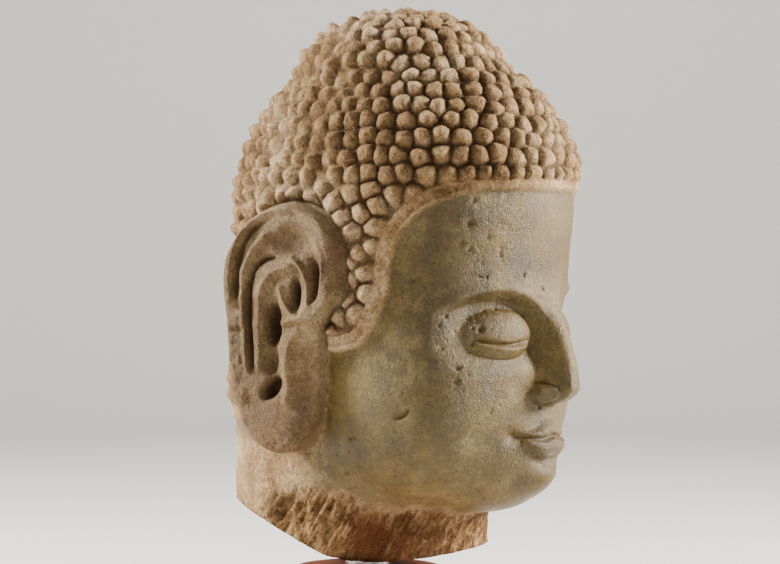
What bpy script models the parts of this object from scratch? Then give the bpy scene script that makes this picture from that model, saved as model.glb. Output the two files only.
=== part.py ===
# Carved stone buddha head on a steel rod and a turned wooden socle.
# Metres, +Z up. The origin is the centre of the socle's underside, the rod stands on the Z axis,
# and the face looks along -Y. The statue's right ear is on the -X side.

import math

import bpy
import numpy as np
from mathutils import kdtree

# Driving sizes, in metres
HEAD_HEIGHT = 0.2975
HEAD_CLEARANCE = 0.0087
ROD_DIAMETER = 0.025
ROD_DEPTH_IN_HEAD = 0.060
ROD_DEPTH_IN_SOCLE = 0.045
ROD_CHAMFER = 0.0015
SEAT_CLEARANCE = 0.0003
SOCLE_HEIGHT = 0.070
SOCLE_FOOT_RADIUS = 0.078
SOCLE_FOOT_THICKNESS = 0.018
SOCLE_TOP_RADIUS = 0.043
SOCLE_TOP_THICKNESS = 0.012
SOCLE_WAIST_RADIUS = 0.034
SOCLE_EDGE_ROUND = 0.003

# Number of faces
SPHERE_SUBDIVISIONS = 7
HEAD_TRIANGLES = 8000
THINNING = 0.012
ROD_SIDES = 32
SOCLE_STEPS = 36
ARC_POINTS = 3

# The head is carved in modules of about 3 mm. x is towards the statue's left, y towards its back
# and z up.
HEAD_SPAN = 98.5
MODULE = HEAD_HEIGHT / HEAD_SPAN
HEAD_BASE = SOCLE_HEIGHT + HEAD_CLEARANCE


# Small tools

def smoothstep(low, high, x):
    t = np.clip((x - low) / (high - low), 0.0, 1.0)
    return t * t * (3.0 - 2.0 * t)


def bell(x, width):
    return np.exp(-np.square(x / width))


def soft_min(a, b, blend):
    h = np.clip(0.5 + 0.5 * (b - a) / blend, 0.0, 1.0)
    return b + (a - b) * h - blend * h * (1.0 - h)


def soft_positive(x, blend):
    return 0.5 * (x + np.sqrt(x * x + blend * blend))


def spline(points, per_span=8, closed=False):
    p = np.array(points, float)
    ends = (p[-1:], p[:1], p[1:2]) if closed else (2 * p[:1] - p[1:2], 2 * p[-1:] - p[-2:-1])
    q = np.vstack((ends[0], p, *ends[1:]))
    out = []
    for i in range(len(q) - 3):
        a, b, c, d = q[i:i + 4]
        for t in np.arange(per_span) / per_span:
            out.append(0.5 * (2 * b + (c - a) * t + (2 * a - 5 * b + 4 * c - d) * t**2
                              + (3 * b - a - 3 * c + d) * t**3))
    if not closed:
        out.append(p[-1])
    return np.array(out)


def smooth_table(x, table):
    dense = spline(table)
    return np.interp(x, dense[:, 0], dense[:, 1])


def gap_to_curve(u, v, curve, closed=False):
    best = np.full(len(u), 1e9)
    for i in range(len(curve) if closed else len(curve) - 1):
        a, b = curve[i], curve[(i + 1) % len(curve)]
        d = b - a
        t = np.clip(((u - a[0]) * d[0] + (v - a[1]) * d[1]) / max(d @ d, 1e-12), 0.0, 1.0)
        best = np.minimum(best, np.hypot(u - a[0] - t * d[0], v - a[1] - t * d[1]))
    return best


def inside_curve(u, v, curve):
    inside = np.zeros(len(u), bool)
    for i in range(len(curve)):
        (a, b), (c, d) = curve[i], curve[(i + 1) % len(curve)]
        if b != d:
            inside ^= ((b > v) != (d > v)) & (u < (c - a) * (v - b) / (d - b) + a)
    return inside


def grain(p, size, seed=0.0, octaves=1):
    """Smooth lattice noise, about -1 to 1."""
    total = np.zeros(len(p))
    weight, gain = 0.0, 1.0
    for octave in range(octaves):
        q = p / size * 2.0**octave + seed * 17.3 + octave * 5.1
        cell = np.floor(q)
        f = q - cell
        f = f * f * (3.0 - 2.0 * f)
        value = np.zeros(len(p))
        for dx in (0, 1):
            for dy in (0, 1):
                for dz in (0, 1):
                    corner = cell + (dx, dy, dz)
                    h = np.sin(corner @ np.array((12.9898, 78.233, 37.719))) * 43758.5453
                    share = np.abs(1 - dx - f[:, 0]) * np.abs(1 - dy - f[:, 1]) * np.abs(1 - dz - f[:, 2])
                    value += (h - np.floor(h)) * share
        total += gain * (2.0 * value - 1.0)
        weight += gain
        gain *= 0.5
    return total / weight * 1.6


class Table:
    """A function of two coordinates on an even grid, read back in between."""

    def __init__(self, function, low, high, steps):
        self.low = np.array(low, float)
        self.scale = (np.array(steps) - 1) / (np.array(high) - self.low)
        self.last = np.array(steps) - 1.0001
        x, y = np.meshgrid(np.linspace(low[0], high[0], steps[0]), np.linspace(low[1], high[1], steps[1]),
                           indexing="ij")
        self.values = function(x.ravel(), y.ravel()).reshape(steps)

    def at(self, x, y):
        i = np.clip((x - self.low[0]) * self.scale[0], 0.0, self.last[0])
        j = np.clip((y - self.low[1]) * self.scale[1], 0.0, self.last[1])
        m, n = i.astype(int), j.astype(int)
        i, j, v = i - m, j - n, self.values
        return ((v[m, n] * (1 - i) + v[m + 1, n] * i) * (1 - j)
                + (v[m, n + 1] * (1 - i) + v[m + 1, n + 1] * i) * j)


# The head's masses, in modules above the neck column's foot: centre, half sizes
HEAD = {
    "core": np.array((0.0, -7.0, 48.0)),
    "axis_y": -8.5,
    "cranium": ((0.0, -8.5, 64.2), (25.1, 31.6, 28.2)),
    "topknot": ((0.0, -9.0, 86.6), (18.2, 18.2, 10.9)),
    "face": ((0.0, -14.5, 39.5), (23.6, 24.6, 29.0)),
    "jaw": ((9.0, -17.5, 27.5), (13.0, 15.0, 14.5)),
    "chin": ((0.0, -26.5, 19.0), (10.5, 10.8, 8.4)),
    "nape": ((0.0, 1.0, 37.0), (20.9, 22.8, 36.0)),
    "neck": {"y": 1.4, "half_width": 19.6, "half_depth": 23.6, "top": 34.0},
    "blend": 7.0,
    "lowest": 1.8,          # the break's lowest point
}

HAIR = {
    "thickness": 1.0,
    "edge_thickness": 0.45,
    "front": 66.3,          # height of the hairline over the forehead
    "corner": 50.0,
    "side": 62.0,           # how far round the temple it turns down, in degrees
    # the sideburn's edge: drop below the corner, degrees further back
    "sideburn": ((0.0, 0.0), (2.8, 1.8), (5.7, 5.0), (8.3, 8.3), (10.3, 13.0), (11.3, 22.0)),
    "nape": 25.5,
    "band_front": 1.7,       # width of the band over the forehead and at the temples
    "band_side": 2.8,
    "band_height": 0.35,
    "lip": 0.25,
    "pitch": 3.4,           # curls
    "row": 3.1,
    "curl_radius": 1.95,
    "curl_height": 1.6,
    "edge_rows": 7,
    "crown": 86.0,
    "evening": 8,
}

EAR = {
    "front": (-26.6, -13.3),
    "rear": (-30.9, 9.4),
    "bottom": 21.0,
    "height": 43.2,
    "depth": 9.0,
    "highest": 1.15,        # of the carving over the plate
    # outline in shares of width, front to rear, and height, lobe to top
    "outline": (
        (0.00, 0.70), (0.02, 0.82), (0.15, 0.94), (0.44, 1.00), (0.76, 0.935), (0.95, 0.81),
        (0.995, 0.68), (0.93, 0.53), (0.88, 0.37), (0.81, 0.20), (0.72, 0.06), (0.53, 0.00),
        (0.34, 0.05), (0.23, 0.19), (0.20, 0.36), (0.19, 0.49), (0.10, 0.58), (0.02, 0.63),
    ),
    # ridges and grooves: line, half width, height
    "lines": (
        (((0.31, 0.545), (0.16, 0.585), (0.10, 0.66), (0.095, 0.75), (0.13, 0.83), (0.20, 0.89), (0.34, 0.935),
          (0.50, 0.955)), 1.55, 1.5),
        (((0.34, 0.94), (0.50, 0.965), (0.64, 0.955), (0.765, 0.92), (0.86, 0.86), (0.925, 0.79), (0.955, 0.71),
          (0.945, 0.62), (0.90, 0.52)), 0.95, 1.3),
        (((0.56, 0.925), (0.685, 0.90), (0.80, 0.855), (0.88, 0.785), (0.908, 0.70), (0.90, 0.59)), 0.42, -1.5),
        (((0.48, 0.82), (0.64, 0.825), (0.755, 0.795), (0.83, 0.735), (0.85, 0.62), (0.855, 0.47), (0.84, 0.33)),
         0.95, 1.1),
        (((0.50, 0.775), (0.60, 0.765), (0.69, 0.735), (0.765, 0.68), (0.785, 0.59), (0.785, 0.43), (0.775, 0.33)),
         0.60, -2.2),
        (((0.46, 0.755), (0.58, 0.725), (0.67, 0.67), (0.72, 0.57), (0.725, 0.43), (0.72, 0.26)), 1.0, 1.5),
        (((0.53, 0.63), (0.48, 0.57), (0.40, 0.535), (0.31, 0.53)), 0.9, 1.4),
        (((0.45, 0.775), (0.38, 0.73), (0.325, 0.675), (0.305, 0.61), (0.31, 0.56)), 0.65, 1.3),
        (((0.41, 0.50), (0.455, 0.43), (0.465, 0.34), (0.45, 0.20)), 0.9, 1.3),
    ),
    # hollows: centre, radii, depth
    "hollows": (
        ((0.595, 0.52), (0.095, 0.125), 4.4),
        ((0.580, 0.37), (0.070, 0.09), 1.8),
        ((0.583, 0.27), (0.090, 0.062), 4.6),
        ((0.400, 0.645), (0.066, 0.085), 3.4),
        ((0.250, 0.70), (0.055, 0.115), 2.2),
        ((0.470, 0.865), (0.230, 0.055), 1.1),
    ),
}

# The face is a plain one: three equal thirds from hairline to chin, five eyes wide
THIRD = (HAIR["front"] - 13.0) / 3.0
CHIN_LINE = 12.0
NOSE_LINE = CHIN_LINE + THIRD
BROW_LINE = CHIN_LINE + 2.0 * THIRD
MOUTH_LINE = CHIN_LINE + THIRD * 0.66
EYE_LINE = BROW_LINE - 6.4
EYE_WIDTH = 9.4
EYE_CENTRE = 10.0


def ellipsoid(p, centre, radii):
    q = p - np.array(centre)
    near = np.linalg.norm(q / np.array(radii), axis=1)
    slope = np.linalg.norm(q / np.square(radii), axis=1)
    return near * (near - 1.0) / np.maximum(slope, 1e-6)


def azimuth(p, axis_y=HEAD["axis_y"]):
    return np.degrees(np.arctan2(p[:, 0], -(p[:, 1] - axis_y)))


def skin_gap(p):
    """Signed distance to the bare head."""
    mirrored = np.column_stack((np.abs(p[:, 0]), p[:, 1:]))
    neck = HEAD["neck"]
    across = np.hypot(p[:, 0] / neck["half_width"], (p[:, 1] - neck["y"]) / neck["half_depth"])
    column = np.maximum((across - 1.0) * neck["half_width"], p[:, 2] - neck["top"])
    d = ellipsoid(p, *HEAD["cranium"])
    d = soft_min(d, ellipsoid(p, *HEAD["nape"]), HEAD["blend"])
    d = soft_min(d, ellipsoid(p, *HEAD["face"]), HEAD["blend"])
    d = soft_min(d, ellipsoid(mirrored, *HEAD["jaw"]), HEAD["blend"])
    d = soft_min(d, ellipsoid(p, *HEAD["chin"]), HEAD["blend"] * 0.8)
    d = soft_min(d, column, 3.0)
    return soft_min(d, ellipsoid(p, *HEAD["topknot"]), 1.2)


def normals_at(p, step=0.6):
    gradient = np.empty_like(p)
    for axis in range(3):
        shift = np.zeros(3)
        shift[axis] = step
        gradient[:, axis] = skin_gap(p + shift) - skin_gap(p - shift)
    return gradient / np.maximum(np.linalg.norm(gradient, axis=1), 1e-9)[:, None]


# Hairline

def hairline_curve():
    rise = HAIR["front"] - HAIR["corner"]
    upper = [(HAIR["side"] * math.sin(t)**0.55, HAIR["corner"] + rise * math.cos(t)**0.85)
             for t in np.linspace(0.0, math.pi / 2, 24)]
    lower = [(HAIR["side"] + back, HAIR["corner"] - drop) for drop, back in spline(HAIR["sideburn"], 4)[1:]]
    return np.array(upper + lower)


def hairline_gap(turn, z):
    around = math.radians(27.0)
    line = hairline_curve() * (around, 1.0)
    end = (95.0 * around, line[-1][1])
    bare = np.vstack((line, (end, (end[0], -20.0), (-1.0, -20.0), (-1.0, HAIR["front"]))))
    gap = gap_to_curve(turn * around, z, np.vstack((line, (end,))))
    depth = np.where(inside_curve(turn * around, z, bare), -gap, gap)
    return np.minimum(depth, z - HAIR["nape"])


HAIR_TABLE = Table(hairline_gap, (0.0, -10.0), (180.0, 110.0), (541, 481))


def hair_depth(p):
    return HAIR_TABLE.at(np.abs(azimuth(p)), p[:, 2])


def hair_thickness(p):
    depth = hair_depth(p)
    return (HAIR["edge_thickness"] * smoothstep(-0.45, 0.45, depth)
            + (HAIR["thickness"] - HAIR["edge_thickness"]) * smoothstep(1.2, 4.5, depth))


def band_width(p):
    widening = smoothstep(20.0, 48.0, np.abs(azimuth(p)))
    return HAIR["band_front"] + (HAIR["band_side"] - HAIR["band_front"]) * widening


# Ears

EAR_WIDTH = math.dist(EAR["front"], EAR["rear"])
EAR_SCALE = np.array((EAR_WIDTH, EAR["height"]))


def ear_place(p):
    """Shares of the ear's width and height, and how far out of its plane."""
    front, rear = np.array(EAR["front"]), np.array(EAR["rear"])
    along = (rear - front) / EAR_WIDTH
    x, y = -np.abs(p[:, 0]) - front[0], p[:, 1] - front[1]
    return ((x * along[0] + y * along[1]) / EAR_WIDTH, (p[:, 2] - EAR["bottom"]) / EAR["height"],
            -x * along[1] + y * along[0])


def ear_dish(u, v):
    """The plate's broad shape: lower at the front and towards the cheek."""
    drop = 1.0 * smoothstep(0.16, 0.0, u) * smoothstep(0.50, 0.60, v)
    return -drop - 1.2 * smoothstep(0.48, 0.18, u) * smoothstep(0.54, 0.36, v)


def ear_carving(u, v):
    height = np.zeros(len(u))
    for line, half_width, rise in EAR["lines"]:
        gap = gap_to_curve(u * EAR_WIDTH, v * EAR["height"], spline(line, 5) * EAR_SCALE)
        height += rise * bell(gap, half_width)
    height = soft_min(height, EAR["highest"], 0.6)
    for (cu, cv), (ru, rv), depth in EAR["hollows"]:
        height -= depth * smoothstep(1.45, 0.15, np.hypot((u - cu) / ru, (v - cv) / rv))
    return height + 0.7 * smoothstep(1.0, 0.0, np.hypot((u - 0.50) / 0.36, (v - 0.09) / 0.15))


def ear_edge(u, v):
    outline = spline(EAR["outline"], 5, closed=True) * EAR_SCALE
    gap = gap_to_curve(u * EAR_WIDTH, v * EAR["height"], outline, closed=True)
    return np.where(inside_curve(u * EAR_WIDTH, v * EAR["height"], outline), -gap, gap)


EAR_HEIGHTS = Table(ear_carving, (-0.3, -0.2), (1.3, 1.2), (321, 421))
EAR_EDGES = Table(ear_edge, (-0.3, -0.2), (1.3, 1.2), (321, 421))
for _ in range(12):
    # the crests where two strokes meet are rubbed down
    v = EAR_HEIGHTS.values
    v[1:-1, 1:-1] = 0.5 * v[1:-1, 1:-1] + 0.125 * (v[2:, 1:-1] + v[:-2, 1:-1] + v[1:-1, 2:] + v[1:-1, :-2])


def ear_gap(p):
    """The uncarved plate."""
    u, v, out = ear_place(p)
    near = (u > -0.25) & (u < 1.25) & (v > -0.15) & (v < 1.15) & (out > -EAR["depth"] - 4.0)
    d = np.full(len(p), 8.0)
    u, v, out = u[near], v[near], out[near]
    body = -soft_min((ear_dish(u, v) - out) * 0.9, -EAR_EDGES.at(u, v), 1.1)
    d[near] = np.maximum(body, -out - EAR["depth"])
    return d


def carve_ears(p):
    u, v, out = ear_place(p)
    at = (np.abs(p[:, 0]) > 18.0) & (EAR_EDGES.at(u, v) < 0.6)
    u, v, out = u[at], v[at], out[at]
    height = (EAR_HEIGHTS.at(u, v) + 0.12 * grain(p[at], 2.2, 21.0, 2)) * smoothstep(-0.2, -1.6, EAR_EDGES.at(u, v))
    height *= smoothstep(-2.6, -0.6, out - ear_dish(u, v))
    front, rear = np.array(EAR["front"]), np.array(EAR["rear"])
    along = (rear - front) / EAR_WIDTH
    carved = p.copy()
    carved[at, 0] += np.sign(p[at, 0]) * along[1] * height
    carved[at, 1] += along[0] * height
    return carved


def off_ear(p):
    u, v, _ = ear_place(p)
    return np.maximum(smoothstep(0.6, 1.3, EAR_EDGES.at(u, v)), np.abs(p[:, 0]) < 12.0)


def head_gap(p):
    return soft_min(skin_gap(p) - hair_thickness(p), ear_gap(p), 0.8)


def cast_out(directions):
    """Outermost point of the head along each direction from its core."""
    t = np.full(len(directions), 64.0)
    low, high = np.zeros(len(t)), t.copy()
    active = np.arange(len(t))
    for _ in range(120):
        d = head_gap(HEAD["core"] + directions[active] * t[active, None])
        inside = d <= 0.0
        low[active[inside]] = t[active[inside]]
        active, d = active[~inside], d[~inside]
        if not len(active):
            break
        high[active] = t[active]
        t[active] -= np.clip(d * 0.6, 0.35, 4.0)
    for _ in range(9):
        t = 0.5 * (low + high)
        inside = head_gap(HEAD["core"] + directions * t[:, None]) <= 0.0
        low[inside], high[~inside] = t[inside], t[~inside]
    return HEAD["core"] + directions * (0.5 * (low + high))[:, None]


# Face

def brow_height(side):
    return smooth_table(side, ((0.0, BROW_LINE - 3.2), (2.4, BROW_LINE - 2.4), (5.0, BROW_LINE - 0.2),
                              (8.0, BROW_LINE + 1.3), (12.0, BROW_LINE + 1.7), (16.0, BROW_LINE + 0.6),
                              (20.0, BROW_LINE - 1.9), (24.0, BROW_LINE - 5.5)))


def eye_sockets(side, z):
    brow = brow_height(side)
    under = smoothstep(0.0, 2.2, brow - z)
    lower = smoothstep(NOSE_LINE + 4.5, EYE_LINE - 1.0, z)
    sides = smoothstep(21.5, 14.0, side) * smoothstep(1.6, 4.6, side)
    arris = 0.35 * bell(z - brow - 0.2, 0.9) * smoothstep(1.5, 4.0, side) * smoothstep(21.0, 16.0, side)
    return arris - 2.3 * under * lower * sides


def eye_lids(side, z):
    across = (side - EYE_CENTRE) / (EYE_WIDTH * 0.5)
    up = (z - (EYE_LINE + 0.5)) / 4.4
    ball = 2.2 * np.sqrt(np.clip(1.0 - (across / 1.32)**2 - up**2, 0.0, 1.0))
    lid = EYE_LINE - 1.0 + 0.75 * across**2 + 0.18 * across
    width = smoothstep(1.12, 0.86, np.abs(across))
    slit = -0.75 * width * smoothstep(-0.95, -0.05, z - lid) * smoothstep(0.28, 0.0, z - lid)
    return ball + slit + 0.25 * width * bell(z - lid + 1.15, 0.5)


def nose_shape(side, z):
    up = z - NOSE_LINE
    rise = smooth_table(up, ((-4.0, 0.0), (-1.1, 0.0), (-0.4, 1.0), (0.8, 3.9), (2.6, 5.5), (4.8, 5.1),
                            (8.5, 4.0), (12.5, 2.7), (15.5, 1.5), (18.0, 0.6), (21.0, 0.0), (26.0, 0.0)))
    ridge = smooth_table(up, ((0.0, 1.9), (2.4, 2.0), (5.0, 1.5), (10.0, 1.15), (15.0, 1.3), (19.0, 3.0)))
    foot = smooth_table(up, ((0.0, 4.0), (2.4, 4.2), (5.0, 4.1), (10.0, 3.7), (15.0, 3.8), (19.0, 7.0)))
    bridge = rise * smoothstep(foot, ridge * 0.5, side)
    wing = 2.9 * np.sqrt(np.clip(1.0 - ((side - 3.3) / 1.75)**2 - ((up - 1.7) / 2.0)**2, 0.0, 1.0))
    nostril = -1.5 * bell(side - 1.9, 0.75) * bell(up + 0.1, 0.65)
    return np.maximum(bridge, wing * 0.9 + bridge * 0.55) + nostril


def mouth_shape(side, z):
    half = 7.2
    share = np.clip(side / half, 0.0, 1.0)
    line = MOUTH_LINE + 0.3 * bell(side, 1.4) - 0.3 * bell(side - 2.8, 1.8) + 0.55 * share**3
    top = line + 2.5 * np.cos(share * math.pi / 2) + 0.5 * bell(side - 1.7, 1.1) - 0.1
    bottom = line - 3.2 * np.sqrt(np.clip(1.0 - (side / 6.0)**2, 0.0, 1.0))
    taper = smoothstep(half + 0.4, half - 3.6, side)
    above = np.clip((z - line) / np.maximum(top - line, 0.3), 0.0, 1.6)
    below = np.clip((line - z) / np.maximum(line - bottom, 0.3), 0.0, 1.6)
    upper = 1.05 * (1.0 - smoothstep(0.55, 1.25, above)) * (z >= line)
    lower = 1.35 * np.sqrt(np.clip(1.0 - np.square((below - 0.42) / 0.72), 0.0, 1.0)) * (z < line)
    seam = -0.8 * bell(z - line, 0.42) * smoothstep(half + 0.9, half - 0.8, side)
    muzzle = 1.5 * smoothstep(1.0, 0.0, np.hypot(side / 12.5, (z - MOUTH_LINE) / 9.5))
    corner = -0.8 * np.exp(-np.square((side - half - 0.4) / 1.3) - np.square((z - line) / 1.3))
    trough = bell(side, 0.9) * smoothstep(0.3, 1.3, z - top) * smoothstep(NOSE_LINE + 0.2, NOSE_LINE - 1.2, z)
    under = -0.7 * bell(z - bottom + 1.3, 1.2) * smoothstep(5.5, 1.0, side)
    return (upper + lower) * taper + seam + muzzle + corner - 0.45 * trough + under


def face_relief(p):
    relief = np.zeros(len(p))
    at = (p[:, 1] < -14.0) & (p[:, 2] > CHIN_LINE - 1.0) & (p[:, 2] < HAIR["front"])
    side, z = np.abs(p[at, 0]), p[at, 2]
    chin = 1.7 * smoothstep(1.0, 0.0, np.hypot(side / 7.0, (z - CHIN_LINE - 4.6) / 5.0))
    relief[at] = smoothstep(-14.0, -20.0, p[at, 1]) * (
        eye_sockets(side, z) + eye_lids(side, z) + nose_shape(side, z) + mouth_shape(side, z) + chin)
    return relief


# Curls

def onto_hair(p):
    for _ in range(6):
        normal = normals_at(p)
        p = p - normal * (skin_gap(p) - HAIR["thickness"])[:, None]
    return p, normals_at(p)


def hair_points(turn, z):
    angle = np.radians(np.asarray(turn, float))
    z = np.broadcast_to(z, angle.shape)
    low, high = np.zeros(len(angle)), np.full(len(angle), 45.0)
    for _ in range(14):
        r = 0.5 * (low + high)
        p = np.column_stack((r * np.sin(angle), HEAD["axis_y"] - r * np.cos(angle), z))
        inside = skin_gap(p) < HAIR["thickness"]
        low, high = np.where(inside, r, low), np.where(inside, high, r)
    return p


def respace(row, pitch, phase, closed=False):
    line = np.vstack((row, row[:1])) if closed else row
    along = np.concatenate(((0.0,), np.cumsum(np.linalg.norm(np.diff(line, axis=0), axis=1))))
    count = max(3, round(along[-1] / pitch))
    at = (np.arange(count) + phase) / count * along[-1]
    return np.column_stack([np.interp(at, along, line[:, i]) for i in range(3)])


def edge_rows():
    """Rows that follow the hairline."""
    line = hairline_curve()
    line = np.vstack((line[::-1] * (-1.0, 1.0), line[1:]))
    row = respace(hair_points(line[:, 0], line[:, 1]), 1.0, 0.5)
    rows = []
    for k in range(HAIR["edge_rows"]):
        for _ in range(4):
            step = band_width(row) + HAIR["row"] * 0.45 if k == 0 else np.full(len(row), HAIR["row"])
            _, normal = onto_hair(row)
            inward = np.cross(np.gradient(row, axis=0), normal)
            row = row + inward / np.linalg.norm(inward, axis=1)[:, None] * step[:, None] / 4
            row[1:-1] = 0.5 * row[1:-1] + 0.25 * (row[2:] + row[:-2])
            row = onto_hair(respace(row, 1.0, 0.5))[0]
        rows.append(respace(row, HAIR["pitch"], 0.5 * (k % 2)))
    return rows


def ear_rows():
    """Rows that arch over the ears."""
    front, rear = np.array(EAR["front"]), np.array(EAR["rear"])
    rows = []
    for k in range(2):
        grow = 1.9 + k * HAIR["row"]
        turns = np.radians(np.linspace(8.0, 150.0, 40))
        share = np.column_stack((0.5 - (0.46 + grow / EAR_WIDTH) * np.cos(turns),
                                 0.62 + (0.38 + grow / EAR["height"]) * np.sin(turns)))
        row = np.column_stack((front + (rear - front) * share[:, :1], EAR["bottom"] + EAR["height"] * share[:, 1]))
        row = respace(onto_hair(row)[0], HAIR["pitch"], 0.5 * (k % 2))
        rows += [row, row * (-1.0, 1.0, 1.0)]
    return rows


def level_rows():
    """Level rings from the crown to the nape."""
    rows, z, last = [np.array(((0.0, -9.0, 99.3),))], 99.0, None
    while z > HAIR["nape"]:
        point = hair_points([120.0], z)[0]
        if last is None or np.linalg.norm(point - last) >= HAIR["row"]:
            ring = hair_points(np.arange(-180.0, 180.0, 3.0), z)
            rows.append(respace(ring, HAIR["pitch"], 0.5 * (len(rows) % 2), closed=True))
            last = point
        z -= 0.1
    return rows


def in_curly_hair(p):
    u, v, _ = ear_place(p)
    covered = (EAR_EDGES.at(u, v) < 0.9) & (np.abs(p[:, 0]) > 12.0)
    return (hair_depth(p) > band_width(p) + 0.7) & ~covered


def evened(p):
    """Pushed apart until they sit about a pitch from each other."""
    for _ in range(HAIR["evening"]):
        gap = p[:, None, :] - p[None, :, :]
        length = np.linalg.norm(gap, axis=2) + np.eye(len(p)) * 99.0
        push = np.clip(HAIR["pitch"] * 1.06 - length, 0.0, None) / length
        moved = onto_hair(p + 0.22 * (gap * push[:, :, None]).sum(axis=1))[0]
        p = np.where(in_curly_hair(moved)[:, None], moved, p)
    return p


def filled(kept):
    """A curl in every hole that is wide enough for one."""
    turns, heights = np.meshgrid(np.arange(-180.0, 180.0, 2.5), np.arange(HAIR["nape"], 98.0, 0.9))
    spots = hair_points(turns.ravel(), heights.ravel())
    spots = spots[in_curly_hair(spots)]
    free = np.full(len(spots), 99.0)
    for point in kept:
        free = np.minimum(free, np.linalg.norm(spots - point, axis=1))
    while free.max() > 0.80 * HAIR["pitch"]:
        point = spots[free.argmax()]
        kept = np.vstack((kept, point))
        free = np.minimum(free, np.linalg.norm(spots - point, axis=1))
    return kept


def curl_centres():
    kept = np.empty((0, 3))
    levels = level_rows()
    crown = [row for row in levels if row[0, 2] > HAIR["crown"]]
    behind = [row for row in levels if row[0, 2] <= HAIR["crown"]]
    for row in crown + edge_rows() + ear_rows() + behind:
        for point in row[in_curly_hair(row)]:
            if not len(kept) or np.linalg.norm(kept - point, axis=1).min() > 0.8 * HAIR["pitch"]:
                kept = np.vstack((kept, point))
    kept = evened(filled(evened(kept)))
    return kept + 0.38 * np.column_stack([grain(kept, 2.1, seed) for seed in (31.0, 32.0, 33.0)])


def curl_relief(p):
    """A dome for each curl, the ground between them low."""
    centres = curl_centres()
    tree = kdtree.KDTree(len(centres))
    for i, centre in enumerate(centres):
        tree.insert(centre, i)
    tree.balance()
    # worn unevenly, and lower at the nape
    worn = 0.93 + 0.14 * grain(centres, 2.0, 4.0) + 0.12 * grain(centres, 14.0, 9.0)
    worn *= 1.0 - 0.35 * smoothstep(52.0, 36.0, centres[:, 2]) * (centres[:, 1] > 2.0)
    at = np.nonzero(hair_depth(p) > 0.3)[0]
    near, which = np.empty(len(at)), np.empty(len(at), int)
    for k, i in enumerate(at):
        _, which[k], near[k] = tree.find(p[i])
    relief = np.zeros(len(p))
    relief[at] = (worn[which] * np.clip(1.0 - np.square(near / HAIR["curl_radius"]), 0.0, 1.0)
                  * smoothstep(-0.3, 0.5, hair_depth(p[at]) - band_width(p[at])))
    return HAIR["curl_height"] * relief * off_ear(p)


def band_relief(p):
    depth, wide = hair_depth(p), band_width(p)
    band = np.sqrt(np.clip(1.0 - np.square(depth / wide * 2.0 - 1.0), 0.0, 1.0))
    band *= 1.0 + 0.25 * grain(p, 2.6, 41.0, 2)
    lips = HAIR["lip"] * (bell(depth - 0.5, 0.35) + bell(depth - wide + 0.4, 0.35))
    return np.where((p[:, 1] < 0.0) & (depth > -0.5), HAIR["band_height"] * band + lips, 0.0) * off_ear(p)


BREAK = {
    # the break's upper edge: azimuth in degrees, height
    "edge": ((-180, 3.0), (-135, 4.0), (-121, 7.0), (-111, 18.2), (-103, 19.0), (-90, 18.3), (-75, 15.5),
             (-55, 12.6), (-35, 10.8), (-10, 9.8), (20, 8.6), (50, 8.2), (80, 11.5), (100, 12.0), (130, 7.0),
             (180, 3.0)),
    # how deep its facets lie
    "facets": ((-180, 0.0), (-118, 0.0), (-100, 0.7), (-72, 0.7), (-62, 0.3), (-55, 1.9), (-38, 2.2), (-28, 0.9),
               (-12, 0.5), (5, 0.3), (15, 0.0), (60, 0.0), (85, 1.5), (110, 0.4), (180, 0.0)),
    "rear": 0.52,
    "front": 0.13,
}


def underside(p):
    across = 0.574 * p[:, 0] - 0.819 * p[:, 1]
    return (HEAD["lowest"] - 0.25 + BREAK["rear"] * soft_positive(-across - 6.0, 3.0)
            + BREAK["front"] * soft_positive(across - 4.0, 3.0))


def cut_break(p):
    out, rough = p.copy(), np.zeros(len(p))
    low = p[:, 2] < 27.0
    q = p[low]
    turn = azimuth(q, HEAD["neck"]["y"])
    edge = np.interp(turn, *np.array(BREAK["edge"]).T) + 1.3 * grain(q, 3.2, 6.0, 3)
    spall = smoothstep(1.0, -1.6, q[:, 2] - edge)
    # torn streaks that lean down to one side
    across, depth = 0.574 * q[:, 0] - 0.819 * q[:, 1], 0.819 * q[:, 0] + 0.574 * q[:, 1]
    lean = np.column_stack((0.87 * across - 0.5 * q[:, 2], 0.3 * (0.5 * across + 0.87 * q[:, 2]), 0.5 * depth))
    streak = 1.0 - 2.0 * np.abs(grain(lean, 1.4, 8.0, 2))
    facets = np.interp(turn + 3.0 * grain(q, 5.0, 2.0), *np.array(BREAK["facets"]).T)
    chips = 1.0 - 2.0 * np.abs(grain(q, 1.5, 5.0, 3))
    inward = spall * (0.5 + facets - 0.30 * streak + 0.50 * grain(q, 4.0, 1.0, 2) - 0.34 * chips)
    radial = q - np.column_stack((np.zeros(len(q)), np.full(len(q), HEAD["neck"]["y"]), q[:, 2]))
    length = np.maximum(np.linalg.norm(radial, axis=1), 1e-6)
    q = q - radial / length[:, None] * np.clip(inward, -0.3, length * 0.5)[:, None]
    floor = underside(q) + (0.5 + 0.7 * grain(q * (1.0, 1.0, 0.0), 5.0, 3.0, 4)) * smoothstep(19.0, 13.0, length)
    under = smoothstep(0.4, -0.2, q[:, 2] - floor)
    rough[low] = np.maximum(spall, under)
    q[:, 2] = np.maximum(q[:, 2], floor)
    out[low] = q
    return out, rough


def head_surface(directions):
    """The whole carved surface along the given directions, in modules."""
    p = carve_ears(cast_out(directions))
    normal = normals_at(p)
    push = normal * 0.3
    push[:, 1] -= 0.7
    p = p + push * face_relief(p)[:, None]
    p = p + normal * (band_relief(p) + curl_relief(p))[:, None]
    return cut_break(p)[0]


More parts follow.
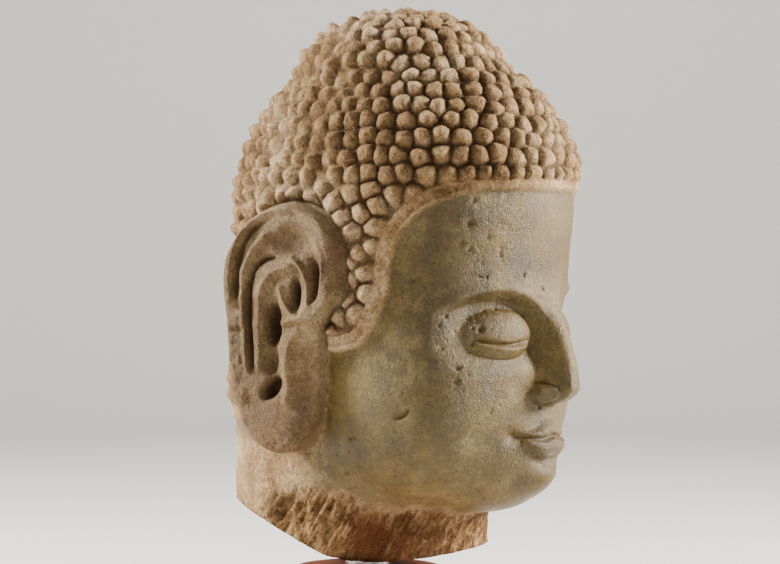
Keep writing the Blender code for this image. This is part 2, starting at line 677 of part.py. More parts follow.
def thinning_weights(p):
    """How freely the mesh is thinned at each point: least at the eyes, nose, mouth and ears."""
    u, v, _ = ear_place(p)
    face = ((np.abs(p[:, 0]) < EYE_CENTRE + EYE_WIDTH) & (p[:, 1] < -22.0)
            & (p[:, 2] > CHIN_LINE) & (p[:, 2] < BROW_LINE + 4.0))
    ears = (EAR_EDGES.at(u, v) < 0.5) & (np.abs(p[:, 0]) > 20.0)
    return np.where(face, 0.5, np.where(ears, 0.8, 1.0))


# Solids

def material(name, colour, roughness, metallic=0.0):
    made = bpy.data.materials.new(name)
    made.use_nodes = True
    shader = made.node_tree.nodes["Principled BSDF"]
    shader.inputs["Base Color"].default_value = (*colour, 1.0)
    shader.inputs["Roughness"].default_value = roughness
    shader.inputs["Metallic"].default_value = metallic
    return made


def add_cylinder(name, radius, low, high, sides):
    bpy.ops.mesh.primitive_cylinder_add(vertices=sides, radius=radius, depth=high - low,
                                        location=(0.0, 0.0, 0.5 * (low + high)))
    made = bpy.context.object
    made.name = name
    return made


def add_head(stone):
    """The head, cast from a sphere's directions, thinned, and drilled for the rod."""
    bpy.ops.mesh.primitive_ico_sphere_add(subdivisions=SPHERE_SUBDIVISIONS, radius=1.0)
    head = bpy.context.object
    head.name = "stone_head"
    count = len(head.data.vertices)
    directions = np.empty(count * 3)
    head.data.vertices.foreach_get("co", directions)
    directions = directions.reshape(-1, 3)
    surface = head_surface(directions / np.linalg.norm(directions, axis=1)[:, None])
    lowest, highest = surface[:, 2].min(), surface[:, 2].max()
    freedom = head.vertex_groups.new(name="freedom")
    weights = thinning_weights(surface)
    for weight in np.unique(weights):
        freedom.add(np.nonzero(weights == weight)[0].tolist(), float(weight), "REPLACE")
    surface[:, 2] = (surface[:, 2] - lowest) * HEAD_SPAN / (highest - lowest)
    head.data.vertices.foreach_set("co", (surface * MODULE).ravel())
    head.data.update()
    head.location.z = HEAD_BASE
    head.data.materials.append(stone)
    head.data.shade_smooth()

    thin = head.modifiers.new("thin", "DECIMATE")
    thin.ratio = HEAD_TRIANGLES / len(head.data.polygons)
    thin.vertex_group = "freedom"
    thin.vertex_group_factor = THINNING
    hole_top = SOCLE_HEIGHT + HEAD_CLEARANCE + ROD_DEPTH_IN_HEAD + SEAT_CLEARANCE
    hole = add_cylinder("rod_hole_in_head", ROD_DIAMETER / 2 + SEAT_CLEARANCE, SOCLE_HEIGHT, hole_top, ROD_SIDES)
    hole.hide_render = True
    hole.display_type = "WIRE"
    drill = head.modifiers.new("drill", "BOOLEAN")
    drill.operation = "DIFFERENCE"
    drill.object = hole
    return head


def add_rod(steel):
    """The steel rod, seated in the socle and in the head."""
    bottom = SOCLE_HEIGHT - ROD_DEPTH_IN_SOCLE
    top = HEAD_BASE + ROD_DEPTH_IN_HEAD
    rod = add_cylinder("steel_rod", ROD_DIAMETER / 2, bottom, top, ROD_SIDES)
    edge = rod.modifiers.new("chamfer", "BEVEL")
    edge.width = ROD_CHAMFER
    edge.segments = 1
    edge.limit_method = "ANGLE"
    rod.data.materials.append(steel)
    rod.data.shade_smooth()
    rod.data.set_sharp_from_angle(angle=math.radians(40))
    return rod


def arc(centre, radius, start, end):
    """Points of an arc in the turning profile, angles in degrees from the outward direction."""
    angles = np.radians(np.linspace(start, end, ARC_POINTS))
    return [(centre[0] + radius * math.cos(a), centre[1] + radius * math.sin(a)) for a in angles]


def socle_profile():
    """Outline of the turned socle from the rim of its rod hole down to its underside."""
    hole = ROD_DIAMETER / 2 + SEAT_CLEARANCE
    r = SOCLE_EDGE_ROUND
    top, under_top = SOCLE_HEIGHT, SOCLE_HEIGHT - SOCLE_TOP_THICKNESS
    points = [(hole, top)]
    points += arc((SOCLE_TOP_RADIUS - r, top - r), r, 90, 0)
    points += arc((SOCLE_TOP_RADIUS - r, under_top + r), r, 0, -90)
    foot_top = SOCLE_FOOT_THICKNESS
    rise = under_top - foot_top
    spread = SOCLE_FOOT_RADIUS - r * 3 - SOCLE_WAIST_RADIUS
    for t in np.linspace(0.0, 90.0, ARC_POINTS * 2 + 1):
        a = math.radians(t)
        points.append((SOCLE_WAIST_RADIUS + spread * (1.0 - math.cos(a)), under_top - rise * math.sin(a)))
    points += arc((SOCLE_FOOT_RADIUS - r, foot_top - r), r, 90, 0)
    points += arc((SOCLE_FOOT_RADIUS - r, r), r, 0, -90)
    points.append((0.0, 0.0))
    return points


def add_socle(wood):
    """The turned socle with its blind hole for the rod."""
    hole = ROD_DIAMETER / 2 + SEAT_CLEARANCE
    floor = SOCLE_HEIGHT - ROD_DEPTH_IN_SOCLE - SEAT_CLEARANCE
    profile = [(0.0, floor), (hole, floor)] + socle_profile()
    mesh = bpy.data.meshes.new("wood_socle")
    mesh.from_pydata([(x, 0.0, z) for x, z in profile], [(i, i + 1) for i in range(len(profile) - 1)], [])
    socle = bpy.data.objects.new("wood_socle", mesh)
    bpy.context.scene.collection.objects.link(socle)
    turn = socle.modifiers.new("turn", "SCREW")
    turn.steps = turn.render_steps = SOCLE_STEPS
    turn.use_merge_vertices = True
    turn.merge_threshold = 0.00001
    turn.use_smooth_shade = True
    socle.data.materials.append(wood)
    return socle


def main():
    for obj in list(bpy.data.objects):
        bpy.data.objects.remove(obj)
    add_head(material("stone", (0.46, 0.35, 0.20), 0.62))
    add_rod(material("steel", (0.55, 0.56, 0.58), 0.22, 1.0))
    add_socle(material("stained_wood", (0.24, 0.075, 0.03), 0.40))


if __name__ == "__main__":
    main()
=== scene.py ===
# Stone buddha head on its steel rod and turned wooden socle.
# Metres, the face looks along -Y, the head's own right ear is on the -X side.

import math

import bpy
import numpy as np
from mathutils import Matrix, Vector, kdtree


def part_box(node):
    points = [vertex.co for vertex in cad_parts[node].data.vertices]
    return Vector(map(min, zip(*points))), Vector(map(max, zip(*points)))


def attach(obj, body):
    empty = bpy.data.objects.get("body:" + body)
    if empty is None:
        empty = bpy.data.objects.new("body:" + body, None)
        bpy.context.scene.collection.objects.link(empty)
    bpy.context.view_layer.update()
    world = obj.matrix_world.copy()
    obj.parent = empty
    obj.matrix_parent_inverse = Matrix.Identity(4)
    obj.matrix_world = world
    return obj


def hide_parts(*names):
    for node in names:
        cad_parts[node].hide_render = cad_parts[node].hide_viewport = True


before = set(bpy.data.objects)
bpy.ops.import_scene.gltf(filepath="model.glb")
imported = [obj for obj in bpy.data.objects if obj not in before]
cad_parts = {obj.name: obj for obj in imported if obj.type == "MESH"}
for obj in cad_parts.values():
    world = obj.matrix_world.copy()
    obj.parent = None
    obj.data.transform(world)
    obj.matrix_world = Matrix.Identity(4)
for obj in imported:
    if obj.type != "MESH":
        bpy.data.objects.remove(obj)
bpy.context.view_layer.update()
bpy.ops.object.select_all(action="DESELECT")


# small helpers

def smoothstep(low, high, x):
    t = np.clip((x - low) / (high - low), 0.0, 1.0)
    return t * t * (3.0 - 2.0 * t)


def bell(x, width):
    return np.exp(-np.square(x / width))


def softMin(a, b, blend):
    h = np.clip(0.5 + 0.5 * (b - a) / blend, 0.0, 1.0)
    return b + (a - b) * h - blend * h * (1.0 - h)


def softPositive(x, blend):
    return 0.5 * (x + np.sqrt(x * x + blend * blend))


def spline(points, perSpan=8, closed=False):
    p = np.array(points, float)
    ends = (p[-1:], p[:1], p[1:2]) if closed else (2 * p[:1] - p[1:2], 2 * p[-1:] - p[-2:-1])
    q = np.vstack((ends[0], p, *ends[1:]))
    out = []
    for i in range(len(q) - 3):
        a, b, c, d = q[i:i + 4]
        for t in np.arange(perSpan) / perSpan:
            out.append(0.5 * (2 * b + (c - a) * t + (2 * a - 5 * b + 4 * c - d) * t**2
                              + (3 * b - a - 3 * c + d) * t**3))
    if not closed:
        out.append(p[-1])
    return np.array(out)


def smoothTable(x, table):
    dense = spline(table)
    return np.interp(x, dense[:, 0], dense[:, 1])


def gapToCurve(u, v, curve, closed=False):
    best = np.full(len(u), 1e9)
    for i in range(len(curve) if closed else len(curve) - 1):
        a, b = curve[i], curve[(i + 1) % len(curve)]
        d = b - a
        t = np.clip(((u - a[0]) * d[0] + (v - a[1]) * d[1]) / max(d @ d, 1e-12), 0.0, 1.0)
        best = np.minimum(best, np.hypot(u - a[0] - t * d[0], v - a[1] - t * d[1]))
    return best


def insideCurve(u, v, curve):
    inside = np.zeros(len(u), bool)
    for i in range(len(curve)):
        (a, b), (c, d) = curve[i], curve[(i + 1) % len(curve)]
        if b != d:
            inside ^= ((b > v) != (d > v)) & (u < (c - a) * (v - b) / (d - b) + a)
    return inside


def grain(p, size, seed=0.0, octaves=1):
    # smooth lattice noise, about -1 to 1
    total = np.zeros(len(p))
    weight, gain = 0.0, 1.0
    for octave in range(octaves):
        q = p / size * 2.0**octave + seed * 17.3 + octave * 5.1
        cell = np.floor(q)
        f = q - cell
        f = f * f * (3.0 - 2.0 * f)
        value = np.zeros(len(p))
        for dx in (0, 1):
            for dy in (0, 1):
                for dz in (0, 1):
                    corner = cell + (dx, dy, dz)
                    h = np.sin(corner @ np.array((12.9898, 78.233, 37.719))) * 43758.5453
                    share = np.abs(1 - dx - f[:, 0]) * np.abs(1 - dy - f[:, 1]) * np.abs(1 - dz - f[:, 2])
                    value += (h - np.floor(h)) * share
        total += gain * (2.0 * value - 1.0)
        weight += gain
        gain *= 0.5
    return total / weight * 1.6


class Table:
    # a function of two coordinates on an even grid, read back in between

    def __init__(self, function, low, high, steps):
        self.low = np.array(low, float)
        self.scale = (np.array(steps) - 1) / (np.array(high) - self.low)
        self.last = np.array(steps) - 1.0001
        x, y = np.meshgrid(np.linspace(low[0], high[0], steps[0]), np.linspace(low[1], high[1], steps[1]),
                           indexing="ij")
        self.values = function(x.ravel(), y.ravel()).reshape(steps)

    def at(self, x, y):
        i = np.clip((x - self.low[0]) * self.scale[0], 0.0, self.last[0])
        j = np.clip((y - self.low[1]) * self.scale[1], 0.0, self.last[1])
        m, n = i.astype(int), j.astype(int)
        i, j, v = i - m, j - n, self.values
        return ((v[m, n] * (1 - i) + v[m + 1, n] * i) * (1 - j)
                + (v[m, n + 1] * (1 - i) + v[m + 1, n + 1] * i) * j)


# a module is about 3 mm; the head's masses in modules above the neck column's foot: centre, half sizes
head = {
    "core": np.array((0.0, -7.0, 48.0)),
    "axisY": -8.5,
    "cranium": ((0.0, -8.5, 64.2), (25.1, 31.6, 28.2)),
    "topknot": ((0.0, -7.6, 86.3), (17.4, 17.7, 11.0)),
    "face": ((0.0, -14.5, 39.5), (23.6, 24.6, 29.0)),
    "jaw": ((9.0, -17.5, 27.5), (13.0, 15.0, 14.5)),
    "chin": ((0.0, -26.5, 19.0), (10.5, 10.8, 8.4)),
    "nape": ((0.0, 1.0, 37.0), (20.9, 22.8, 36.0)),
    "neck": {"y": 1.6, "halfWidth": 19.6, "halfDepth": 24.5, "top": 34.0},
    "blend": 7.0,           # how softly the masses run into each other
    "neckBlend": 3.0,
    "topknotBlend": 1.2,
    "earBlend": 0.8,
    "lowest": 1.8,          # the break's lowest point
    "span": 98.5,           # the stone's height
    "reach": 64.0,          # more than any point's distance from the core
    "sphereLevel": 8,
    "triangles": 196000,
    # where the sphere is finer, either side: the face's features, the ears, the neck
    "finer": (((-1.0, -1.0, -0.75), (0.5, -0.6, 0.12)),
              ((0.68, -0.35, -1.0), (1.0, 0.62, 0.55)),
              ((-1.0, -1.0, -0.93), (1.0, 1.0, -0.55))),
}

hair = {
    "thickness": 1.0,
    "edgeThickness": 0.45,
    "radius": 27.0,         # of the head at the hairline
    "front": 66.3,          # height of the hairline over the forehead
    "corner": 50.0,
    "side": 62.0,           # how far round the temple it turns down, in degrees
    # the sideburn's edge: drop below the corner, degrees further back
    "sideburn": ((0.0, 0.0), (2.8, 1.8), (5.7, 5.0), (8.3, 8.3), (10.3, 13.0), (11.3, 22.0)),
    "nape": 25.5,
    "bandFront": 1.7,       # width of the band over the forehead and at the temples
    "bandSide": 2.8,
    "bandHeight": 0.35,
    "lip": 0.25,
    "pitch": 3.3,           # curls, and how much closer they sit beside the ears
    "closer": 0.55,
    "row": 3.0,
    "nearest": 0.8,         # least distance between two curls, in pitches
    "knob": 0.52,           # a curl's radius in pitches
    "curlHeight": 1.6,
    "edgeRows": 7,          # rows that follow the hairline
    "earRows": 2,
    "crown": 86.0,          # level rings go before the hairline's rows above this height
    "evening": 6,           # passes that push the curls apart
    "jitter": 0.60,
    "tipShift": 0.45,
    "worn": 0.90,           # the curls' mean height, and how much they differ near and far
    "wornNear": 0.20,
    "wornFar": 0.12,
    "napeWear": 0.6,
    "rubbedGround": 0.28,   # the ground and the knobs where the hair is rubbed down
    "rubbedKnob": 0.85,
    "pits": 0.45,
    "rounding": 0.36,       # how much lower a curl's rim is than its tip
    "sand": 0.10,
}

ear = {
    "front": (-26.6, -13.3),
    "rear": (-30.9, 9.4),
    "bottom": 21.0,
    "height": 43.2,
    "depth": 9.0,
    "highest": 1.15,        # of the carving over the plate
    # outline in shares of width, front to rear, and height, lobe to top
    "outline": (
        (0.00, 0.70), (0.02, 0.82), (0.15, 0.94), (0.44, 1.00), (0.76, 0.935), (0.95, 0.81),
        (0.995, 0.68), (0.965, 0.53), (0.945, 0.39), (0.885, 0.23), (0.77, 0.07), (0.53, 0.00),
        (0.34, 0.05), (0.23, 0.19), (0.20, 0.36), (0.19, 0.49), (0.10, 0.58), (0.02, 0.63),
    ),
    # ridges and grooves: line, half width, height
    "lines": (
        (((0.238, 0.552), (0.126, 0.598), (0.077, 0.669), (0.070, 0.748), (0.091, 0.819), (0.140, 0.883),
          (0.231, 0.936), (0.343, 0.974), (0.469, 0.986)), 1.8, 1.25),
        (((0.432, 0.936), (0.313, 0.908), (0.222, 0.863), (0.170, 0.808), (0.147, 0.748), (0.156, 0.684),
          (0.191, 0.627), (0.243, 0.584), (0.318, 0.547)), 0.4, 0.5),
        (((0.432, 0.983), (0.558, 0.978), (0.670, 0.960), (0.768, 0.918), (0.841, 0.863), (0.900, 0.801),
          (0.931, 0.741), (0.937, 0.676), (0.925, 0.612)), 0.62, 1.35),
        (((0.614, 0.931), (0.682, 0.913), (0.754, 0.880), (0.813, 0.832), (0.853, 0.769), (0.871, 0.712),
          (0.878, 0.655), (0.867, 0.591)), 0.34, -2.0),
        (((0.617, 0.869), (0.708, 0.826), (0.771, 0.773), (0.805, 0.719), (0.813, 0.641), (0.808, 0.555),
          (0.794, 0.449), (0.777, 0.342)), 0.6, 0.6),
        (((0.512, 0.775), (0.603, 0.778), (0.687, 0.755), (0.740, 0.709), (0.760, 0.655), (0.763, 0.555),
          (0.752, 0.449), (0.743, 0.370), (0.740, 0.321)), 0.34, -2.2),
        (((0.413, 0.748), (0.525, 0.733), (0.609, 0.698), (0.658, 0.644), (0.670, 0.570), (0.673, 0.449),
          (0.668, 0.342)), 0.75, 0.7),
        (((0.498, 0.655), (0.470, 0.612), (0.421, 0.570), (0.358, 0.540)), 0.5, 0.75),
        (((0.402, 0.780), (0.332, 0.746), (0.284, 0.698), (0.260, 0.644), (0.261, 0.595), (0.296, 0.550)),
         0.4, 1.2),
        (((0.250, 0.787), (0.211, 0.737), (0.203, 0.676), (0.219, 0.627), (0.247, 0.588)), 0.6, -2.3),
        (((0.494, 0.521), (0.403, 0.531), (0.312, 0.540), (0.200, 0.552)), 0.5, 0.8),
        (((0.369, 0.484), (0.421, 0.442), (0.452, 0.385), (0.446, 0.321), (0.421, 0.264), (0.449, 0.217)),
         0.95, 0.6),
    ),
    # hollows: centre, radii, depth, lean in degrees
    "hollows": (
        ((0.558, 0.516), (0.064, 0.087), 4.2, 0.0),
        ((0.564, 0.367), (0.053, 0.060), 1.2, 0.0),
        ((0.572, 0.262), (0.060, 0.056), 3.6, 39.0),
        ((0.374, 0.634), (0.041, 0.065), 3.4, 0.0),
        ((0.385, 0.844), (0.168, 0.068), 1.0, 0.0),
    ),
}

# a plain face: three equal thirds from hairline to chin, five eyes wide
face = {
    "chin": 12.0,           # its lowest point
    "thirdsFrom": 13.0,
    "mouth": 0.66,          # share of the lowest third
    "eyeDrop": 6.4,         # from the brows to the eyes
    "eyeWidth": 9.4,
    "eyeCentre": 10.0,
    # depths and heights
    "socket": 2.3,
    "arris": 0.35,
    "ball": 2.3,
    "slit": 0.75,
    "lidEdge": 0.25,
    "wing": 2.9,
    "nostril": 1.5,
    "mouthHalf": 7.2,
    "upperLip": 1.05,
    "lowerLip": 1.35,
    "seam": 0.8,
    "muzzle": 1.5,
    "corner": 0.8,
    "trough": 0.45,
    "underLip": 0.7,
    "chinBoss": 1.7,
}
third = (hair["front"] - face["thirdsFrom"]) / 3.0
chinLine = face["chin"]
noseLine = chinLine + third
browLine = chinLine + 2.0 * third
mouthLine = chinLine + third * face["mouth"]
eyeLine = browLine - face["eyeDrop"]


def ellipsoid(p, centre, radii):
    q = p - np.array(centre)
    near = np.linalg.norm(q / np.array(radii), axis=1)
    slope = np.linalg.norm(q / np.square(radii), axis=1)
    return near * (near - 1.0) / np.maximum(slope, 1e-6)


def azimuth(p, axisY=head["axisY"]):
    return np.degrees(np.arctan2(p[:, 0], -(p[:, 1] - axisY)))


def skinGap(p):
    # signed distance to the bare head
    mirrored = np.column_stack((np.abs(p[:, 0]), p[:, 1:]))
    neck = head["neck"]
    across = np.hypot(p[:, 0] / neck["halfWidth"], (p[:, 1] - neck["y"]) / neck["halfDepth"])
    column = np.maximum((across - 1.0) * neck["halfWidth"], p[:, 2] - neck["top"])
    d = ellipsoid(p, *head["cranium"])
    d = softMin(d, ellipsoid(p, *head["nape"]), head["blend"])
    d = softMin(d, ellipsoid(p, *head["face"]), head["blend"])
    d = softMin(d, ellipsoid(mirrored, *head["jaw"]), head["blend"])
    d = softMin(d, ellipsoid(p, *head["chin"]), head["blend"] * 0.8)
    d = softMin(d, column, head["neckBlend"])
    return softMin(d, ellipsoid(p, *head["topknot"]), head["topknotBlend"])


def normalsAt(p, step=0.6):
    gradient = np.empty_like(p)
    for axis in range(3):
        shift = np.zeros(3)
        shift[axis] = step
        gradient[:, axis] = skinGap(p + shift) - skinGap(p - shift)
    return gradient / np.maximum(np.linalg.norm(gradient, axis=1), 1e-9)[:, None]


# hairline

def hairlineCurve():
    rise = hair["front"] - hair["corner"]
    upper = [(hair["side"] * math.sin(t)**0.55, hair["corner"] + rise * math.cos(t)**0.85)
             for t in np.linspace(0.0, math.pi / 2, 24)]
    lower = [(hair["side"] + back, hair["corner"] - drop) for drop, back in spline(hair["sideburn"], 4)[1:]]
    return np.array(upper + lower)


def hairlineGap(turn, z):
    around = math.radians(hair["radius"])
    line = hairlineCurve() * (around, 1.0)
    end = (95.0 * around, line[-1][1])
    bare = np.vstack((line, (end, (end[0], -20.0), (-1.0, -20.0), (-1.0, hair["front"]))))
    gap = gapToCurve(turn * around, z, np.vstack((line, (end,))))
    depth = np.where(insideCurve(turn * around, z, bare), -gap, gap)
    return np.minimum(depth, z - hair["nape"])


hairTable = Table(hairlineGap, (0.0, -10.0), (180.0, 110.0), (541, 481))


def hairDepth(p):
    return hairTable.at(np.abs(azimuth(p)), p[:, 2])


def hairThickness(p):
    depth = hairDepth(p)
    return (hair["edgeThickness"] * smoothstep(-0.45, 0.45, depth)
            + (hair["thickness"] - hair["edgeThickness"]) * smoothstep(1.2, 4.5, depth))


def bandWidth(p):
    atTemple = smoothstep(20.0, 48.0, np.abs(azimuth(p)))
    return hair["bandFront"] + (hair["bandSide"] - hair["bandFront"]) * atTemple


# ears

earWidth = math.dist(ear["front"], ear["rear"])
earScale = np.array((earWidth, ear["height"]))
earFront, earRear = np.array(ear["front"]), np.array(ear["rear"])
earAlong = (earRear - earFront) / earWidth


def earPlace(p):
    # shares of the ear's width and height, and how far out of its plane
    x, y = -np.abs(p[:, 0]) - earFront[0], p[:, 1] - earFront[1]
    return ((x * earAlong[0] + y * earAlong[1]) / earWidth, (p[:, 2] - ear["bottom"]) / ear["height"],
            -x * earAlong[1] + y * earAlong[0])


def earDish(u, v):
    # the plate's broad shape: lower at the front and towards the cheek
    drop = 1.0 * smoothstep(0.16, 0.0, u) * smoothstep(0.50, 0.60, v)
    return -drop - 1.2 * smoothstep(0.48, 0.18, u) * smoothstep(0.54, 0.36, v)


def earCarving(u, v):
    height = np.zeros(len(u))
    for line, halfWidth, rise in ear["lines"]:
        curve = spline(line, 5) * earScale
        gap = gapToCurve(u * earWidth, v * ear["height"], curve)
        # grooves run out towards their ends
        ends = np.minimum(*(np.hypot(u * earWidth - x, v * ear["height"] - y) for x, y in curve[[0, -1]]))
        height += rise * bell(gap, halfWidth) * (smoothstep(-0.6, 3.2, ends) if rise < 0.0 else 1.0)
    height = softMin(height, ear["highest"], 0.5)
    for (cu, cv), (ru, rv), depth, lean in ear["hollows"]:
        x, y = (u - cu) * earWidth, (v - cv) * ear["height"]
        c, s = math.cos(math.radians(lean)), math.sin(math.radians(lean))
        out = np.hypot((x * c + y * s) / (ru * earWidth), (y * c - x * s) / (rv * ear["height"]))
        height -= depth * smoothstep(1.25, 0.30, out)
    return height + 0.7 * smoothstep(1.0, 0.0, np.hypot((u - 0.50) / 0.36, (v - 0.09) / 0.15))


def earEdge(u, v):
    outline = spline(ear["outline"], 5, closed=True) * earScale
    gap = gapToCurve(u * earWidth, v * ear["height"], outline, closed=True)
    return np.where(insideCurve(u * earWidth, v * ear["height"], outline), -gap, gap)


earHeights = Table(earCarving, (-0.3, -0.2), (1.3, 1.2), (321, 421))
earEdges = Table(earEdge, (-0.3, -0.2), (1.3, 1.2), (321, 421))
for _ in range(7):
    # the crests where two strokes meet are rubbed down
    v = earHeights.values
    v[1:-1, 1:-1] = 0.5 * v[1:-1, 1:-1] + 0.125 * (v[2:, 1:-1] + v[:-2, 1:-1] + v[1:-1, 2:] + v[1:-1, :-2])


def earGap(p):
    # the uncarved plate
    u, v, out = earPlace(p)
    near = (u > -0.25) & (u < 1.25) & (v > -0.15) & (v < 1.15) & (out > -ear["depth"] - 4.0)
    d = np.full(len(p), 8.0)
    u, v, out = u[near], v[near], out[near]
    body = -softMin((earDish(u, v) - out) * 0.9, -earEdges.at(u, v), 1.1)
    d[near] = np.maximum(body, -out - ear["depth"])
    return d


def carveEars(p):
    u, v, out = earPlace(p)
    at = (np.abs(p[:, 0]) > 18.0) & (earEdges.at(u, v) < 0.6)
    u, v, out = u[at], v[at], out[at]
    height = earHeights.at(u, v) + 0.12 * grain(p[at], 2.2, 21.0, 2)
    height *= smoothstep(0.0, -1.1, earEdges.at(u, v))
    # the rear rim is ragged below its upper half
    height += 0.55 * grain(p[at], 2.0, 23.0, 3) * smoothstep(0.76, 0.84, u) * smoothstep(0.60, 0.50, v)
    height *= smoothstep(-2.6, -0.6, out - earDish(u, v))
    carved = p.copy()
    carved[at, 0] += np.sign(p[at, 0]) * earAlong[1] * height
    carved[at, 1] += earAlong[0] * height
    return carved


def offEar(p):
    u, v, _ = earPlace(p)
    return np.maximum(smoothstep(0.3, 1.0, earEdges.at(u, v)), np.abs(p[:, 0]) < 12.0)


def headGap(p):
    return softMin(skinGap(p) - hairThickness(p), earGap(p), head["earBlend"])


def castOut(directions):
    # outermost point of the head along each direction from its core
    t = np.full(len(directions), head["reach"])
    low, high = np.zeros(len(t)), t.copy()
    active = np.arange(len(t))
    for _ in range(120):
        d = headGap(head["core"] + directions[active] * t[active, None])
        inside = d <= 0.0
        low[active[inside]] = t[active[inside]]
        active, d = active[~inside], d[~inside]
        if not len(active):
            break
        high[active] = t[active]
        t[active] -= np.clip(d * 0.6, 0.35, 4.0)
    for _ in range(9):
        t = 0.5 * (low + high)
        inside = headGap(head["core"] + directions * t[:, None]) <= 0.0
        low[inside], high[~inside] = t[inside], t[~inside]
    return head["core"] + directions * (0.5 * (low + high))[:, None]


# face

def browHeight(side):
    return smoothTable(side, ((0.0, browLine - 3.2), (2.4, browLine - 2.4), (5.0, browLine - 0.2),
                              (8.0, browLine + 1.3), (12.0, browLine + 1.7), (16.0, browLine + 0.6),
                              (20.0, browLine - 1.9), (24.0, browLine - 5.5)))


def eyeSockets(side, z):
    brow = browHeight(side)
    under = smoothstep(0.0, 2.2, brow - z)
    lower = smoothstep(noseLine + 4.5, eyeLine - 1.0, z)
    sides = smoothstep(21.5, 14.0, side) * smoothstep(1.6, 4.6, side)
    arris = face["arris"] * bell(z - brow - 0.2, 0.9)
    arris = arris * smoothstep(1.5, 4.0, side) * smoothstep(21.0, 16.0, side)
    return arris - face["socket"] * under * lower * sides


def eyeLids(side, z):
    across = (side - face["eyeCentre"]) / (face["eyeWidth"] * 0.5)
    up = (z - (eyeLine + 0.5)) / 4.4
    ball = face["ball"] * np.clip(1.0 - (across / 1.36)**2 - up**2, 0.0, 1.0)**0.75
    lid = eyeLine - 1.0 + 0.75 * across**2 + 0.18 * across
    width = smoothstep(1.12, 0.86, np.abs(across))
    slit = -face["slit"] * width * smoothstep(-0.95, -0.05, z - lid) * smoothstep(0.28, 0.0, z - lid)
    return ball + slit + face["lidEdge"] * width * bell(z - lid + 1.15, 0.5)


def noseShape(side, z):
    up = z - noseLine
    rise = smoothTable(up, ((-4.0, 0.0), (-1.1, 0.0), (-0.4, 1.0), (0.8, 3.9), (2.6, 5.5), (4.8, 5.1),
                            (8.5, 4.0), (12.5, 2.7), (15.5, 1.5), (18.0, 0.6), (21.0, 0.0), (26.0, 0.0)))
    ridge = smoothTable(up, ((0.0, 1.9), (2.4, 2.0), (5.0, 1.5), (10.0, 1.15), (15.0, 1.3), (19.0, 3.0)))
    foot = smoothTable(up, ((0.0, 4.0), (2.4, 4.2), (5.0, 4.1), (10.0, 3.7), (15.0, 3.8), (19.0, 7.0)))
    bridge = rise * smoothstep(foot, ridge * 0.5, side)
    wing = face["wing"] * np.sqrt(np.clip(1.0 - ((side - 3.3) / 1.75)**2 - ((up - 1.7) / 2.0)**2, 0.0, 1.0))
    nostril = -face["nostril"] * bell(side - 1.9, 0.75) * bell(up + 0.1, 0.65)
    return np.maximum(bridge, wing * 0.9 + bridge * 0.55) + nostril


def mouthShape(side, z):
    half = face["mouthHalf"]
    share = np.clip(side / half, 0.0, 1.0)
    line = mouthLine + 0.3 * bell(side, 1.4) - 0.3 * bell(side - 2.8, 1.8) + 0.55 * share**3
    top = line + 2.5 * np.cos(share * math.pi / 2) + 0.5 * bell(side - 1.7, 1.1) - 0.1
    bottom = line - 3.2 * np.sqrt(np.clip(1.0 - (side / 6.0)**2, 0.0, 1.0))
    taper = smoothstep(half + 0.4, half - 3.6, side)
    above = np.clip((z - line) / np.maximum(top - line, 0.3), 0.0, 1.6)
    below = np.clip((line - z) / np.maximum(line - bottom, 0.3), 0.0, 1.6)
    upper = face["upperLip"] * (1.0 - smoothstep(0.55, 1.25, above)) * (z >= line)
    lower = np.sqrt(np.clip(1.0 - np.square((below - 0.42) / 0.72), 0.0, 1.0))
    lower = face["lowerLip"] * lower * (z < line)
    seam = -face["seam"] * bell(z - line, 0.42) * smoothstep(half + 0.9, half - 0.8, side)
    muzzle = face["muzzle"] * smoothstep(1.0, 0.0, np.hypot(side / 12.5, (z - mouthLine) / 9.5))
    corner = -face["corner"] * np.exp(-np.square((side - half - 0.4) / 1.3) - np.square((z - line) / 1.3))
    trough = bell(side, 0.9) * smoothstep(0.3, 1.3, z - top) * smoothstep(noseLine + 0.2, noseLine - 1.2, z)
    under = -face["underLip"] * bell(z - bottom + 1.3, 1.2) * smoothstep(5.5, 1.0, side)
    return (upper + lower) * taper + seam + muzzle + corner - face["trough"] * trough + under


def faceRelief(p):
    relief = np.zeros(len(p))
    at = (p[:, 1] < -14.0) & (p[:, 2] > chinLine - 1.0) & (p[:, 2] < hair["front"])
    side, z = np.abs(p[at, 0]), p[at, 2]
    chin = face["chinBoss"] * smoothstep(1.0, 0.0, np.hypot(side / 7.0, (z - chinLine - 4.6) / 5.0))
    relief[at] = smoothstep(-14.0, -20.0, p[at, 1]) * (
        eyeSockets(side, z) + eyeLids(side, z) + noseShape(side, z) + mouthShape(side, z) + chin)
    return relief


# curls

def ontoHair(p):
    for _ in range(6):
        normal = normalsAt(p)
        p = p - normal * (skinGap(p) - hair["thickness"])[:, None]
    return p, normalsAt(p)


def hairPoints(turn, z):
    angle = np.radians(np.asarray(turn, float))
    z = np.broadcast_to(z, angle.shape)
    low, high = np.zeros(len(angle)), np.full(len(angle), 45.0)
    for _ in range(14):
        r = 0.5 * (low + high)
        p = np.column_stack((r * np.sin(angle), head["axisY"] - r * np.cos(angle), z))
        inside = skinGap(p) < hair["thickness"]
        low, high = np.where(inside, r, low), np.where(inside, high, r)
    return p


def respace(row, pitch, phase, closed=False):
    line = np.vstack((row, row[:1])) if closed else row
    along = np.concatenate(((0.0,), np.cumsum(np.linalg.norm(np.diff(line, axis=0), axis=1))))
    count = max(3, round(along[-1] / pitch))
    at = (np.arange(count) + phase) / count * along[-1]
    return np.column_stack([np.interp(at, along, line[:, i]) for i in range(3)])


def pitchAt(p):
    low, beside = smoothstep(68.0, 56.0, p[:, 2]), smoothstep(35.0, 52.0, np.abs(azimuth(p)))
    return hair["pitch"] - hair["closer"] * low * beside


